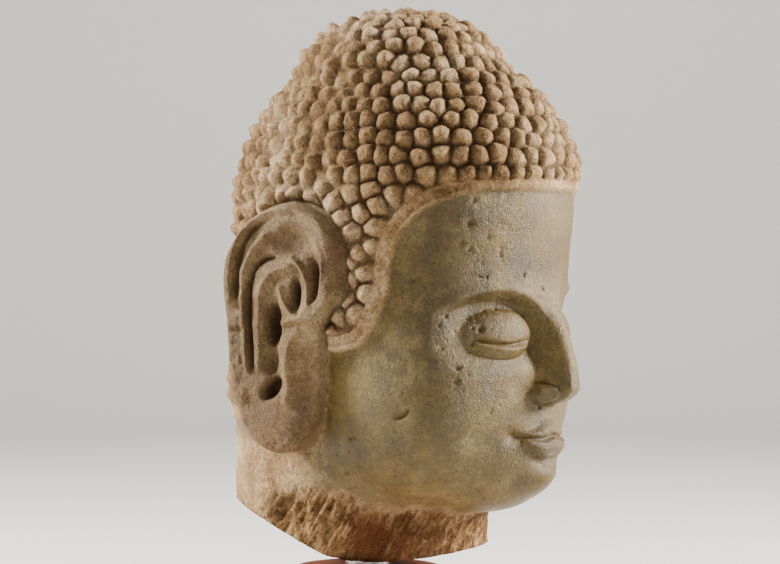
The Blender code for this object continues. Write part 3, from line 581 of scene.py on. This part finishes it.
def edgeRows():
    # rows that follow the hairline
    line = hairlineCurve()
    line = np.vstack((line[::-1] * (-1.0, 1.0), line[1:]))
    row = respace(hairPoints(line[:, 0], line[:, 1]), 1.0, 0.5)
    rows = []
    for k in range(hair["edgeRows"]):
        for _ in range(4):
            pace = hair["row"] * pitchAt(row) / hair["pitch"]
            step = bandWidth(row) + pace * 0.45 if k == 0 else pace
            _, normal = ontoHair(row)
            inward = np.cross(np.gradient(row, axis=0), normal)
            row = row + inward / np.linalg.norm(inward, axis=1)[:, None] * step[:, None] / 4
            row[1:-1] = 0.5 * row[1:-1] + 0.25 * (row[2:] + row[:-2])
            row = ontoHair(respace(row, 1.0, 0.5))[0]
        rows.append(respace(row, hair["pitch"], 0.5 * (k % 2)))
    return rows


def earRows():
    # rows that arch over the ears
    rows = []
    for k in range(hair["earRows"]):
        grow = 1.9 + k * hair["row"]
        turns = np.radians(np.linspace(8.0, 150.0, 40))
        share = np.column_stack((0.5 - (0.46 + grow / earWidth) * np.cos(turns),
                                 0.62 + (0.38 + grow / ear["height"]) * np.sin(turns)))
        height = ear["bottom"] + ear["height"] * share[:, 1]
        row = np.column_stack((earFront + (earRear - earFront) * share[:, :1], height))
        row = respace(ontoHair(row)[0], hair["pitch"], 0.5 * (k % 2))
        rows += [row, row * (-1.0, 1.0, 1.0)]
    return rows


def levelRows():
    # level rings from the crown to the nape
    rows, z, last = [np.array(((0.0, -9.0, 99.3),))], 99.0, None
    while z > hair["nape"]:
        point = hairPoints([120.0], z)[0]
        if last is None or np.linalg.norm(point - last) >= hair["row"]:
            ring = hairPoints(np.arange(-180.0, 180.0, 3.0), z)
            rows.append(respace(ring, hair["pitch"], 0.5 * (len(rows) % 2), closed=True))
            last = point
        z -= 0.1
    return rows


def inCurlyHair(p):
    u, v, _ = earPlace(p)
    covered = (earEdges.at(u, v) < 0.9) & (np.abs(p[:, 0]) > 12.0)
    return (hairDepth(p) > bandWidth(p) + 0.7) & ~covered


def evened(p):
    # pushed apart until they sit about a pitch from each other
    for _ in range(hair["evening"]):
        gap = p[:, None, :] - p[None, :, :]
        length = np.linalg.norm(gap, axis=2) + np.eye(len(p)) * 99.0
        push = np.clip(pitchAt(p)[:, None] * 1.06 - length, 0.0, None) / length
        moved = ontoHair(p + 0.22 * (gap * push[:, :, None]).sum(axis=1))[0]
        p = np.where(inCurlyHair(moved)[:, None], moved, p)
    return p


def filled(kept):
    # a curl in every hole that is wide enough for one
    turns, heights = np.meshgrid(np.arange(-180.0, 180.0, 2.5), np.arange(hair["nape"], 98.0, 0.9))
    spots = hairPoints(turns.ravel(), heights.ravel())
    spots = spots[inCurlyHair(spots)]
    pitch = pitchAt(spots)
    free = np.full(len(spots), 99.0)
    for point in kept:
        free = np.minimum(free, np.linalg.norm(spots - point, axis=1) / pitch)
    while free.max() > hair["nearest"]:
        point = spots[free.argmax()]
        kept = np.vstack((kept, point))
        free = np.minimum(free, np.linalg.norm(spots - point, axis=1) / pitch)
    return kept


def curlCentres():
    kept = np.empty((0, 3))
    levels = levelRows()
    crown = [row for row in levels if row[0, 2] > hair["crown"]]
    behind = [row for row in levels if row[0, 2] <= hair["crown"]]
    for row in crown + edgeRows() + earRows() + behind:
        row = row[inCurlyHair(row)]
        for point, pitch in zip(row, pitchAt(row)):
            if not len(kept) or np.linalg.norm(kept - point, axis=1).min() > hair["nearest"] * pitch:
                kept = np.vstack((kept, point))
    kept = evened(filled(evened(kept)))
    return kept + hair["jitter"] * np.column_stack([grain(kept, 2.1, seed) for seed in (31.0, 32.0, 33.0)])


def curlRelief(p):
    centres = curlCentres()
    print(len(centres), "curls")
    tree = kdtree.KDTree(len(centres))
    for i, centre in enumerate(centres):
        tree.insert(centre, i)
    tree.balance()
    # worn unevenly, and lower at the nape
    worn = hair["worn"] + hair["wornNear"] * grain(centres, 2.0, 4.0)
    worn = worn + hair["wornFar"] * grain(centres, 14.0, 9.0)
    worn *= 1.0 - hair["napeWear"] * smoothstep(52.0, 35.0, centres[:, 2]) * (centres[:, 1] > 0.0)
    shift = np.column_stack([grain(centres, 1.7, seed) for seed in (11.0, 12.0, 13.0)])
    tips = centres + hair["tipShift"] * shift
    at = np.nonzero(hairDepth(p) > 0.3)[0]
    q = p[at]
    near, beyond, which = np.empty(len(at)), np.empty(len(at)), np.empty(len(at), int)
    for k, i in enumerate(at):
        (_, which[k], near[k]), (_, _, beyond[k]) = tree.find_n(p[i], 2)
    inner = smoothstep(-0.3, 0.5, hairDepth(q) - bandWidth(q))
    # towards the right ear and the back the ground between has worn level with the knobs, but for pits
    rubbed = smoothstep(-30.0, -90.0, azimuth(q)) * smoothstep(-0.6, 0.5, grain(q, 8.0, 44.0, 2) + 0.2)
    gap = (beyond - near) / (pitchAt(q) * (0.44 + 0.20 * grain(q, 1.6, 45.0, 2)))
    wall = 1.0 - np.square(1.0 - np.clip(gap, 0.0, 1.0))
    knob = 1.0 - np.square(np.clip(near / (hair["knob"] * pitchAt(q)), 0.0, 1.0))
    wall += rubbed * (hair["rubbedGround"] + hair["rubbedKnob"] * knob - wall)
    pit = smoothstep(0.50, 0.62, near / pitchAt(q)) * smoothstep(0.9, 0.2, beyond - near)
    wall = np.clip(wall * smoothstep(3.0, 2.0, near) - (hair["pits"] + 0.2 * rubbed) * pit, 0.0, 1.1) * inner
    off = np.minimum(np.linalg.norm(q - tips[which], axis=1) / (hair["knob"] * pitchAt(q)), 1.3)
    relief, paintedShadeShare = np.zeros(len(p)), np.zeros(len(p))
    relief[at] = worn[which] * wall * (1.0 - hair["rounding"] * off**1.5)
    relief[at] += hair["sand"] * inner * grain(q, 1.3, 46.0, 3)
    # painted shade: darker in the grooves and pits between the curls, less where the hair is rubbed level
    paintedShadeShare[at] = np.clip((1.0 - wall) * (1.15 - 0.45 * rubbed), 0.0, 1.0) * inner
    return hair["curlHeight"] * relief * offEar(p), paintedShadeShare * offEar(p)


def bandRelief(p):
    depth, wide = hairDepth(p), bandWidth(p)
    band = np.sqrt(np.clip(1.0 - np.square(depth / wide * 2.0 - 1.0), 0.0, 1.0))
    band *= 1.0 + 0.25 * grain(p, 2.6, 41.0, 2)
    lips = hair["lip"] * (bell(depth - 0.5, 0.35) + bell(depth - wide + 0.4, 0.35))
    return np.where((p[:, 1] < 0.0) & (depth > -0.5), hair["bandHeight"] * band + lips, 0.0) * offEar(p)


# the photo's right, in the ground plan
view = {"x": 0.574, "y": 0.819}


def acrossView(p):
    return view["x"] * p[:, 0] - view["y"] * p[:, 1]


def intoView(p):
    return view["y"] * p[:, 0] + view["x"] * p[:, 1]


broken = {
    # the break's upper edge: azimuth in degrees, height
    "edge": ((-180, 3.0), (-135, 4.0), (-123, 7.0), (-113, 13.4), (-100, 14.6), (-90, 14.8), (-78, 15.4),
             (-66, 14.0), (-54, 12.0), (-35, 10.9), (-22, 10.3), (-10, 10.3), (20, 10.8), (50, 10.4),
             (80, 11.5), (100, 12.0), (130, 7.0), (180, 3.0)),
    # how deep its facets lie
    "facets": ((-180, 0.0), (-118, 0.0), (-100, 0.6), (-76, 0.7), (-66, 0.1), (-59, 1.8), (-40, 2.2),
               (-30, 0.8), (-12, 0.5), (5, 0.3), (15, 0.0), (60, 0.0), (85, 1.5), (110, 0.4), (180, 0.0)),
    "lean": 2.2,            # degrees that the facets' borders lean a module
    "depth": 0.5,           # of the break below the skin, and the height of what lies on it
    "streaks": 0.34,
    "chips": 0.12,
    "swell": 0.45,
    "hollow": -48.0,        # azimuth of the smooth hollow facet
    "top": 27.0,            # nothing above is cut
    "rear": 0.52,           # how fast the underside rises behind and in front
    "front": 0.13,
}


def underside(p):
    across = acrossView(p)
    return (head["lowest"] - 0.25 + broken["rear"] * softPositive(-across - 6.0, 3.0)
            + broken["front"] * softPositive(across - 4.0, 3.0))


def cutBreak(p):
    out, rough = p.copy(), np.zeros(len(p))
    low = p[:, 2] < broken["top"]
    q = p[low]
    turn = azimuth(q, head["neck"]["y"])
    edge = np.interp(turn, *np.array(broken["edge"]).T) + 1.3 * grain(q, 3.2, 6.0, 3)
    spall = smoothstep(1.0, -1.6 - 2.0 * smoothstep(-60.0, -85.0, turn), q[:, 2] - edge)
    # torn streaks that lean down to one side
    across, z = acrossView(q), q[:, 2]
    lean = np.column_stack((0.87 * across - 0.5 * z, 0.25 * (0.5 * across + 0.87 * z), 0.5 * intoView(q)))
    streak = 1.0 - 2.0 * np.abs(grain(lean, 1.05, 8.0, 2))
    turn = turn - broken["lean"] * (z - 6.0)
    facets = np.interp(turn + 3.0 * grain(q, 5.0, 2.0), *np.array(broken["facets"]).T)
    smooth = bell(turn - broken["hollow"], 12.0)
    torn = broken["streaks"] * streak * (1.0 - 0.75 * smooth)
    chips = broken["chips"] * (1.0 - 2.0 * np.abs(grain(q, 1.5, 5.0, 3))) * (1.0 - 0.7 * smooth)
    inward = spall * (broken["depth"] + facets - torn - chips + broken["swell"] * grain(q, 4.0, 1.0, 2))
    radial = q - np.column_stack((np.zeros(len(q)), np.full(len(q), head["neck"]["y"]), z))
    length = np.maximum(np.linalg.norm(radial, axis=1), 1e-6)
    q = q - radial / length[:, None] * np.clip(inward, -0.3, length * 0.5)[:, None]
    waves = 0.5 + 0.7 * grain(q * (1.0, 1.0, 0.0), 5.0, 3.0, 4)
    floor = underside(q) + waves * smoothstep(19.0, 13.0, length)
    under = smoothstep(0.4, -0.2, q[:, 2] - floor)
    rough[low] = np.maximum(spall, under)
    q[:, 2] = np.maximum(q[:, 2], floor)
    out[low] = q
    return out, rough


damage = {
    # places across the view and up
    "nick": (5.2, 29.3),
    "nickRadius": 1.7,
    "nickDepth": 0.55,
    "pitsDepth": 0.30,
    "earPit": (-6.4, 43.2),
    "earPitDepth": 1.3,
    "seamDepth": 0.6,       # the shadow line between the hair and the ear
}


def nicks(p):
    # small damage on the bare stone: pits, and a crescent nick beside the right cheek
    seen = smoothstep(5.0, 12.0, -intoView(p))
    x, z = acrossView(p) - damage["nick"][0], p[:, 2] - damage["nick"][1]
    turn = np.degrees(np.arctan2(z, x))
    crescent = bell(np.hypot(x, z) - damage["nickRadius"], 0.30)
    crescent = crescent * smoothstep(-115.0, -80.0, turn) * smoothstep(15.0, -20.0, turn)
    pits = smoothstep(0.72, 1.0, grain(p, 1.1, 61.0, 2)) * smoothstep(-0.2, 0.6, grain(p, 9.0, 62.0))
    return damage["nickDepth"] * crescent * seen + damage["pitsDepth"] * pits


def earPit(p):
    # a small deep pit in the sideburn, in front of the right ear
    across, z = acrossView(p) - damage["earPit"][0], p[:, 2] - damage["earPit"][1]
    return bell(np.hypot(across, z), 0.75) * (p[:, 0] < -12.0)


surface = {
    "earSkin": 0.55,        # how bare the ears look, and the painted shade over them, in their dells and along the seam by the hair
    "earPaintedShade": 0.36,
    "dellPaintedShade": 0.58,
    "seamPaintedShadow": 0.8,
    "stripSkin": 0.85,      # taken off the bare skin on the grainy strip at the neck's side
    "grain": 0.10,
    "skinGrain": 0.075,     # taken off the grain on bare skin
    # red-brown: painted reflection of the red wood socle on the hollow facet at the neck's foot, red-brown
    # under the jaw, stains on the ear's front and foot, its dells and its lobe, and red-brown on the break's
    # far side; centre, radius, strength
    "stainsAndReflections": (
        ((-16.3, -12.8, 4.2), 8.0, 1.4),
        ((-7.0, -21.0, 12.4), 6.5, 0.55),
        ((-27.5, -10.4, 54.5), 5.0, 0.5),
        ((-26.0, 2.0, 20.0), 5.0, 0.45),
        ((-29.0, -4.0, 56.0), 5.0, 0.45),
        ((-28.0, 1.0, 27.0), 6.5, 0.35),
        ((14.0, -12.0, 6.0), 9.0, 0.6),
    ),
}


def shapeHead(directions):
    p = carveEars(castOut(directions))
    normal = normalsAt(p)
    push = normal * 0.3
    push[:, 1] -= 0.7
    onEar = 1.0 - offEar(p)
    u, v, _ = earPlace(p)
    atSide = np.abs(p[:, 0]) > 18.0
    dells = smoothstep(-0.4, -2.2, earHeights.at(u, v)) * onEar * atSide
    seam = bell(earEdges.at(u, v) - 0.7, 0.5) * smoothstep(0.50, 0.62, v) * smoothstep(0.85, 0.55, u)
    seam *= atSide
    skin = np.where(onEar < 0.5, smoothstep(0.5, -0.5, hairDepth(p)), surface["earSkin"])
    strip = smoothstep(-76.0, -92.0, azimuth(p, head["neck"]["y"]))
    skin *= 1.0 - surface["stripSkin"] * smoothstep(26.0, 20.0, p[:, 2]) * strip
    p = p + push * faceRelief(p)[:, None]
    curls, paintedShadeShare = curlRelief(p)
    pit = earPit(p)
    sandy = (surface["grain"] - surface["skinGrain"] * skin) * grain(p, 1.0, 51.0, 3) - nicks(p) * skin
    sandy = sandy - damage["earPitDepth"] * pit - damage["seamDepth"] * seam
    p = p + normal * (bandRelief(p) + curls + sandy)[:, None]
    p, rough = cutBreak(p)
    # painted shade over the whole ear, deeper in its dells, a painted shadow along the seam by the hair, and
    # painted shade in the pit
    paintedShadeShare = np.maximum(paintedShadeShare, (surface["earPaintedShade"] + surface["dellPaintedShade"] * dells) * (onEar > 0.5))
    paintedShadeShare = np.maximum(paintedShadeShare, np.maximum(surface["seamPaintedShadow"] * seam, pit))
    return p, skin * (1.0 - rough), paintedShadeShare, rough


# share of red-brown: real stains on the ear, and painted reflection of the red wood socle at the neck's foot
def stainAndReflectionShare(p):
    share = np.zeros(len(p))
    for centre, radius, strength in surface["stainsAndReflections"]:
        share += strength * np.exp(-np.square(np.linalg.norm(p - centre, axis=1) / radius))
    return np.clip(share * (0.8 + 0.5 * grain(p, 3.0, 15.0, 3)), 0.0, 1.0)


def addAttribute(mesh, name, values):
    layer = mesh.attributes.new(name, "FLOAT", "POINT")
    layer.data.foreach_set("value", np.asarray(values, np.float32))


def makeHead():
    bpy.ops.mesh.primitive_ico_sphere_add(subdivisions=head["sphereLevel"], radius=1.0)
    piece = bpy.context.object
    piece.name = "carved_head"
    centres = np.empty(len(piece.data.polygons) * 3)
    piece.data.polygons.foreach_get("center", centres)
    c = centres.reshape(-1, 3)
    c = c / np.linalg.norm(c, axis=1)[:, None]
    c[:, 0] = np.abs(c[:, 0])
    finer = np.zeros(len(c), bool)
    for low, high in head["finer"]:
        finer |= ((c > low) & (c < high)).all(axis=1)
    bpy.ops.object.mode_set(mode="EDIT")
    bpy.ops.mesh.select_mode(type="FACE")
    bpy.ops.mesh.select_all(action="DESELECT")
    bpy.ops.object.mode_set(mode="OBJECT")
    piece.data.polygons.foreach_set("select", finer)
    bpy.ops.object.mode_set(mode="EDIT")
    bpy.ops.mesh.subdivide(number_cuts=1)
    bpy.ops.mesh.select_all(action="SELECT")
    bpy.ops.mesh.quads_convert_to_tris()
    bpy.ops.object.mode_set(mode="OBJECT")
    print("head sphere", len(piece.data.polygons), "faces")

    co = np.empty(len(piece.data.vertices) * 3)
    piece.data.vertices.foreach_get("co", co)
    directions = co.reshape(-1, 3)
    directions = directions / np.linalg.norm(directions, axis=1)[:, None]
    p, skin, paintedShadeShare, rough = shapeHead(directions)
    low, high = (np.array(corner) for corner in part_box("stone_head"))
    span = high[2] - low[2]
    rise = (p[:, 2] - p[:, 2].min()) / np.ptp(p[:, 2])
    place = np.column_stack((p[:, :2] * span / head["span"], low[2] + rise * span))
    print("beyond the solid's box", place.min(0) - low, place.max(0) - high)
    place = np.clip(place, low, high)
    piece.data.vertices.foreach_set("co", place.ravel())
    addAttribute(piece.data, "skin", skin)
    addAttribute(piece.data, "paintedShadeShare", paintedShadeShare)
    addAttribute(piece.data, "rough", rough)
    addAttribute(piece.data, "stainAndReflection", stainAndReflectionShare(p))
    piece.data.update()
    print("head shaped", place.min(0), place.max(0))

    thin = piece.modifiers.new("thin", "DECIMATE")
    thin.ratio = min(1.0, head["triangles"] / len(piece.data.polygons))
    bpy.ops.object.modifier_apply(modifier="thin")
    print("head thinned to", len(piece.data.polygons), "triangles")
    return piece


hole = {"radius": 0.0128}


def drillHead(piece):
    # the blind hole that the rod sits in
    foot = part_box("wood_socle")[1][2]
    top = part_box("steel_rod")[1][2] + 0.0003
    bpy.ops.mesh.primitive_cylinder_add(vertices=64, radius=hole["radius"], depth=top - foot,
                                        location=(0.0, 0.0, 0.5 * (top + foot)))
    bit = bpy.context.object
    drill = piece.modifiers.new("drill", "BOOLEAN")
    drill.solver = "MANIFOLD"
    drill.object = bit
    bpy.ops.object.select_all(action="DESELECT")
    bpy.context.view_layer.objects.active = piece
    piece.select_set(True)
    bpy.ops.object.modifier_apply(modifier="drill")
    bpy.ops.object.shade_smooth()
    bpy.data.objects.remove(bit)
    print("head drilled,", len(piece.data.polygons), "faces,", [a.name for a in piece.data.attributes])


# finishes

class Finish:
    # a material and the nodes that it is built from

    def __init__(self, name):
        self.made = bpy.data.materials.new(name)
        self.made.use_nodes = True
        self.nodes, self.links = self.made.node_tree.nodes, self.made.node_tree.links
        self.shader = self.nodes["Principled BSDF"]
        self.coords = self.nodes.new("ShaderNodeTexCoord").outputs["Object"]

    def set(self, socket, value):
        if isinstance(value, (float, int)):
            socket.default_value = value
        elif isinstance(value, tuple):
            socket.default_value = (*value, 1.0)
        else:
            self.links.new(value, socket)

    def put(self, name, value):
        self.set(self.shader.inputs[name], value)

    def attribute(self, name):
        node = self.nodes.new("ShaderNodeAttribute")
        node.attribute_name = name
        return node.outputs["Fac"]

    def stretched(self, scale):
        node = self.nodes.new("ShaderNodeMapping")
        node.inputs["Scale"].default_value = scale
        self.links.new(self.coords, node.inputs["Vector"])
        return node.outputs["Vector"]

    def turned(self, axes):
        # coordinates along axes of one's own
        node = self.nodes.new("ShaderNodeCombineXYZ")
        for socket, axis in zip(node.inputs, axes):
            along = self.nodes.new("ShaderNodeVectorMath")
            along.operation = "DOT_PRODUCT"
            along.inputs[1].default_value = axis
            self.links.new(self.coords, along.inputs[0])
            self.links.new(along.outputs["Value"], socket)
        return node.outputs["Vector"]

    def noise(self, scale, detail=4.0, rough=0.55, coords=None):
        node = self.nodes.new("ShaderNodeTexNoise")
        for name, value in (("Scale", scale), ("Detail", detail), ("Roughness", rough)):
            node.inputs[name].default_value = value
        self.links.new(coords or self.coords, node.inputs["Vector"])
        return node.outputs["Fac"]

    def ramp(self, value, *stops):
        node = self.nodes.new("ShaderNodeValToRGB")
        while len(node.color_ramp.elements) < len(stops):
            node.color_ramp.elements.new(0.5)
        for element, (at, colour) in zip(node.color_ramp.elements, stops):
            element.position = at
            element.color = (*colour, 1.0) if isinstance(colour, tuple) else (colour, colour, colour, 1.0)
        self.links.new(value, node.inputs["Fac"])
        return node.outputs["Color"]

    def mix(self, share, a, b, blend="MIX"):
        node = self.nodes.new("ShaderNodeMix")
        node.data_type = "RGBA"
        node.blend_type = blend
        for value, socket in zip((share, a, b), [s for s in node.inputs if s.enabled]):
            self.set(socket, value)
        return [s for s in node.outputs if s.enabled][0]

    def math(self, operation, a, b, clamp=False):
        node = self.nodes.new("ShaderNodeMath")
        node.operation = operation
        node.use_clamp = clamp
        for value, socket in zip((a, b), node.inputs):
            self.set(socket, value)
        return node.outputs[0]

    def bump(self, height, distance, strength=1.0):
        node = self.nodes.new("ShaderNodeBump")
        node.inputs["Distance"].default_value = distance
        node.inputs["Strength"].default_value = strength
        self.links.new(height, node.inputs["Height"])
        self.put("Normal", node.outputs["Normal"])


stoneFinish = {
    # dark, middle and light, and the tones that they stand at
    "hair": ((0.140, 0.078, 0.033), (0.375, 0.240, 0.118), (0.740, 0.560, 0.360)),
    "skin": ((0.044, 0.027, 0.003), (0.096, 0.062, 0.010), (0.190, 0.132, 0.034)),
    "fracture": ((0.058, 0.027, 0.009), (0.170, 0.092, 0.034), (0.460, 0.300, 0.145)),
    "tones": (0.50, 0.65, 0.80),
    "crust": (0.330, 0.255, 0.110),
    "stainAndReflection": (0.130, 0.042, 0.016),
    # painted shade colour for the curls' grooves, the ears, the seam and the pit
    "paintedShade": (0.050, 0.028, 0.013),
    # noises: scale, detail, roughness
    "broad": (16.0, 3.0),
    "patches": (70.0, 5.0, 0.6),
    "fine": (420.0, 6.0, 0.7),
    "specks": (1100.0, 3.0, 0.6),
    "crusts": (38.0, 8.0, 0.68),
    "tears": (430.0, 3.0, 0.6),
    # across, along and into the break's tears
    "tearAxes": ((0.50, -0.71, -0.50), (0.06, -0.09, 0.19), (0.41, 0.29, 0.0)),
    "specular": (0.12, 0.32),   # of dry stone, and what bare skin adds
    "roughness": (0.80, 0.38),  # of dry stone, and what bare skin takes off
    "bump": 0.0011,
}


def stoneMaterial():
    m = Finish("weathered_stone")
    broad, patches, fine, specks, crusts = (
        m.noise(*stoneFinish[name]) for name in ("broad", "patches", "fine", "specks", "crusts"))
    tears = m.noise(*stoneFinish["tears"], m.turned(stoneFinish["tearAxes"]))
    skin, paintedShadeShare, rough, stainAndReflection = (m.attribute(name) for name in ("skin", "paintedShadeShare", "rough", "stainAndReflection"))
    tone = m.math("ADD", m.math("MULTIPLY", broad, 0.50), m.math("MULTIPLY", patches, 0.40))
    tone = m.math("ADD", tone, m.math("MULTIPLY", fine, 0.40))
    torn = m.math("ADD", tone, m.math("MULTIPLY", m.math("SUBTRACT", tears, 0.5), 0.55))
    hairy, bare, fracture = (
        m.ramp(value, *zip(stoneFinish["tones"], stoneFinish[name]))
        for name, value in (("hair", tone), ("skin", tone), ("fracture", torn)))
    # cream crust on the bare skin
    bare = m.mix(m.ramp(crusts, (0.54, 0.0), (0.70, 0.42)), bare, stoneFinish["crust"])
    colour = m.mix(rough, m.mix(skin, hairy, bare), fracture)
    # red-brown: stains on the ear, and painted reflection of the red wood socle at the neck's foot
    colour = m.mix(m.math("MULTIPLY", stainAndReflection, 0.9), colour, stoneFinish["stainAndReflection"])
    # painted shade in the curls' grooves and pits, over the ears and their dells, along the seam and in the
    # pit
    paintedShade = m.math("MULTIPLY", m.math("POWER", paintedShadeShare, 0.9), 0.85)
    colour = m.mix(paintedShade, colour, stoneFinish["paintedShade"])
    m.put("Base Color", m.mix(1.0, colour, m.ramp(specks, (0.36, 0.42), (0.47, 1.0)), "MULTIPLY"))

    # the bare skin is rubbed a little glossy, the rest is dry
    dry, added = stoneFinish["specular"]
    m.put("Specular IOR Level", m.math("ADD", dry, m.math("MULTIPLY", skin, added)))
    dry, taken = stoneFinish["roughness"]
    worn = m.math("MULTIPLY", m.math("SUBTRACT", patches, 0.5), 0.7)
    dull = m.math("SUBTRACT", dry, m.math("MULTIPLY", skin, taken))
    m.put("Roughness", m.math("ADD", dull, worn, clamp=True))

    # sandy grains, small pits and the break's tears
    relief = m.math("ADD", m.ramp(fine, (0.34, 0.0), (0.66, 0.62)), m.ramp(specks, (0.36, 0.0), (0.62, 0.38)))
    relief = m.math("ADD", relief, m.math("MULTIPLY", m.ramp(tears, (0.35, 0.0), (0.65, 0.9)), rough))
    depth = m.math("SUBTRACT", 1.0, m.math("MULTIPLY", skin, 0.68))
    m.bump(m.math("MULTIPLY", relief, depth), stoneFinish["bump"])
    return m.made


steelFinish = {
    "colours": ((0.42, 0.43, 0.45), (0.62, 0.63, 0.65)),
    "roughness": (0.16, 0.32),
    "stretch": (1.0, 1.0, 14.0),
    "rings": 160.0,
    "bump": 0.00005,
}


def steelMaterial():
    m = Finish("polished_steel")
    rings = m.noise(steelFinish["rings"], coords=m.stretched(steelFinish["stretch"]))
    low, high = steelFinish["roughness"]
    dark, light = steelFinish["colours"]
    m.put("Roughness", m.ramp(rings, (0.35, low), (0.65, high)))
    m.put("Base Color", m.ramp(rings, (0.35, light), (0.65, dark)))
    m.put("Metallic", 1.0)
    m.bump(rings, steelFinish["bump"])
    return m.made


woodFinish = {
    "colours": ((0.075, 0.014, 0.004), (0.140, 0.030, 0.007), (0.210, 0.052, 0.012)),
    "tones": (0.25, 0.5, 0.8),
    "roughness": (0.48, 0.64),
    "specular": 0.12,
    "stretch": (1.0, 6.0, 6.0),
    "rings": {"Scale": 13.0, "Distortion": 5.0, "Detail": 3.0},
    "fibres": (90.0, 5.0),
    "handled": 35.0,
    "bump": (0.0002, 0.5),
}


def woodMaterial():
    m = Finish("stained_wood")
    stretched = m.stretched(woodFinish["stretch"])
    wave = m.nodes.new("ShaderNodeTexWave")
    wave.bands_direction = "Y"
    for name, value in woodFinish["rings"].items():
        wave.inputs[name].default_value = value
    m.links.new(stretched, wave.inputs["Vector"])
    fibres = m.noise(*woodFinish["fibres"], coords=stretched)
    tone = m.math("ADD", m.math("MULTIPLY", wave.outputs["Fac"], 0.22), m.math("MULTIPLY", fibres, 0.78))
    m.put("Base Color", m.ramp(tone, *zip(woodFinish["tones"], woodFinish["colours"])))
    # handled smoother in places
    low, high = woodFinish["roughness"]
    m.put("Roughness", m.ramp(m.noise(woodFinish["handled"]), (0.38, low), (0.62, high)))
    m.put("Specular IOR Level", woodFinish["specular"])
    m.bump(fibres, *woodFinish["bump"])
    return m.made


def setMaterial(piece, made):
    piece.data.materials.clear()
    piece.data.materials.append(made)


carvedHead = makeHead()
drillHead(carvedHead)
setMaterial(carvedHead, stoneMaterial())
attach(carvedHead, "root")
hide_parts("stone_head")
setMaterial(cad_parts["steel_rod"], steelMaterial())
setMaterial(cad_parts["wood_socle"], woodMaterial())
print("pieces finished")


# studio
studio = {
    "floorRadius": 2.2,
    "wallHeight": 2.4,
    "cove": 0.8,
    "coveSteps": 8,
    "colour": (0.70, 0.69, 0.67),
    "azimuth": -55.0,
    "distance": 1.26,
    "aimHeight": 0.2271,
    "aimRight": 0.0121,
    "lens": 105.2,
    "middle": (0.0, -0.02, 0.24),
    # right of the middle, towards the camera, up; width, watts, colour
    "lights": {
        "left": (-1.22, -0.12, 0.62, 0.30, 66.0, (1.0, 0.92, 0.82)),
        "right": (1.25, 0.02, 0.42, 0.30, 74.0, (1.0, 0.93, 0.84)),
        "front": (0.0, 1.60, 0.70, 0.80, 1.5, (1.0, 1.0, 1.0)),
        "backdrop": (0.0, -0.70, 1.50, 1.20, 34.0, (1.0, 1.0, 1.0)),
    },
}


def makeStudio():
    # one pale sheet: a round floor that curves up into a wall
    bpy.ops.mesh.primitive_circle_add(vertices=96, radius=studio["floorRadius"], fill_type="NGON")
    sheet = bpy.context.object
    sheet.name = "studio_sheet"
    bpy.ops.object.mode_set(mode="EDIT")
    bpy.ops.mesh.select_all(action="SELECT")
    steps = studio["coveSteps"]
    for k in range(steps):
        a, b = (math.pi / 2 * k / steps, math.pi / 2 * (k + 1) / steps)
        rise = studio["cove"] * (math.cos(a) - math.cos(b))
        radius = [studio["floorRadius"] + studio["cove"] * math.sin(t) for t in (a, b)]
        if k == 0:
            bpy.ops.mesh.select_mode(type="EDGE")
            bpy.ops.mesh.region_to_loop()
        bpy.ops.mesh.extrude_edges_move(TRANSFORM_OT_translate={"value": (0.0, 0.0, rise)})
        grow = radius[1] / radius[0]
        bpy.ops.transform.resize(value=(grow, grow, 1.0))
    bpy.ops.mesh.extrude_edges_move(TRANSFORM_OT_translate={"value": (0.0, 0.0, studio["wallHeight"])})
    bpy.ops.object.mode_set(mode="OBJECT")
    bpy.ops.object.shade_smooth()
    paper = Finish("pale_paper")
    paper.put("Base Color", studio["colour"])
    paper.put("Roughness", 0.9)
    setMaterial(sheet, paper.made)


def addLight(name, place, aim, size, power, colour):
    data = bpy.data.lights.new(name, "AREA")
    data.shape = "DISK"
    data.size = size
    data.energy = power
    data.color = colour
    lamp = bpy.data.objects.new(name, data)
    bpy.context.scene.collection.objects.link(lamp)
    lamp.location = place
    lamp.rotation_euler = (Vector(aim) - Vector(place)).to_track_quat("-Z", "Y").to_euler()


def makeCameraAndLights():
    turn = math.radians(studio["azimuth"])
    back = Vector((math.sin(turn), -math.cos(turn), 0.0))
    right = Vector((math.cos(turn), math.sin(turn), 0.0))
    aim = Vector((0.0, 0.0, studio["aimHeight"])) + right * studio["aimRight"]
    data = bpy.data.cameras.new("camera")
    data.sensor_width = 36.0
    data.lens = studio["lens"]
    data.clip_end = 50.0
    camera = bpy.data.objects.new("camera", data)
    bpy.context.scene.collection.objects.link(camera)
    camera.location = aim + back * studio["distance"]
    camera.rotation_euler = (-back).to_track_quat("-Z", "Y").to_euler()
    bpy.context.scene.camera = camera
    # the lights stand around the middle, and the backdrop's looks at the wall
    middle, up = Vector(studio["middle"]), Vector((0.0, 0.0, 1.0))
    for name, (east, near, height, size, power, colour) in studio["lights"].items():
        aim = middle - back * 2.60 + up * 0.4 if name == "backdrop" else middle
        addLight(name, middle + right * east + back * near + up * height, aim, size, power, colour)


makeStudio()
makeCameraAndLights()
world = bpy.data.worlds.new("studio")
bpy.context.scene.world = world
world.use_nodes = True
world.node_tree.nodes["Background"].inputs["Color"].default_value = (0.9, 0.95, 1.0, 1.0)
world.node_tree.nodes["Background"].inputs["Strength"].default_value = 0.04
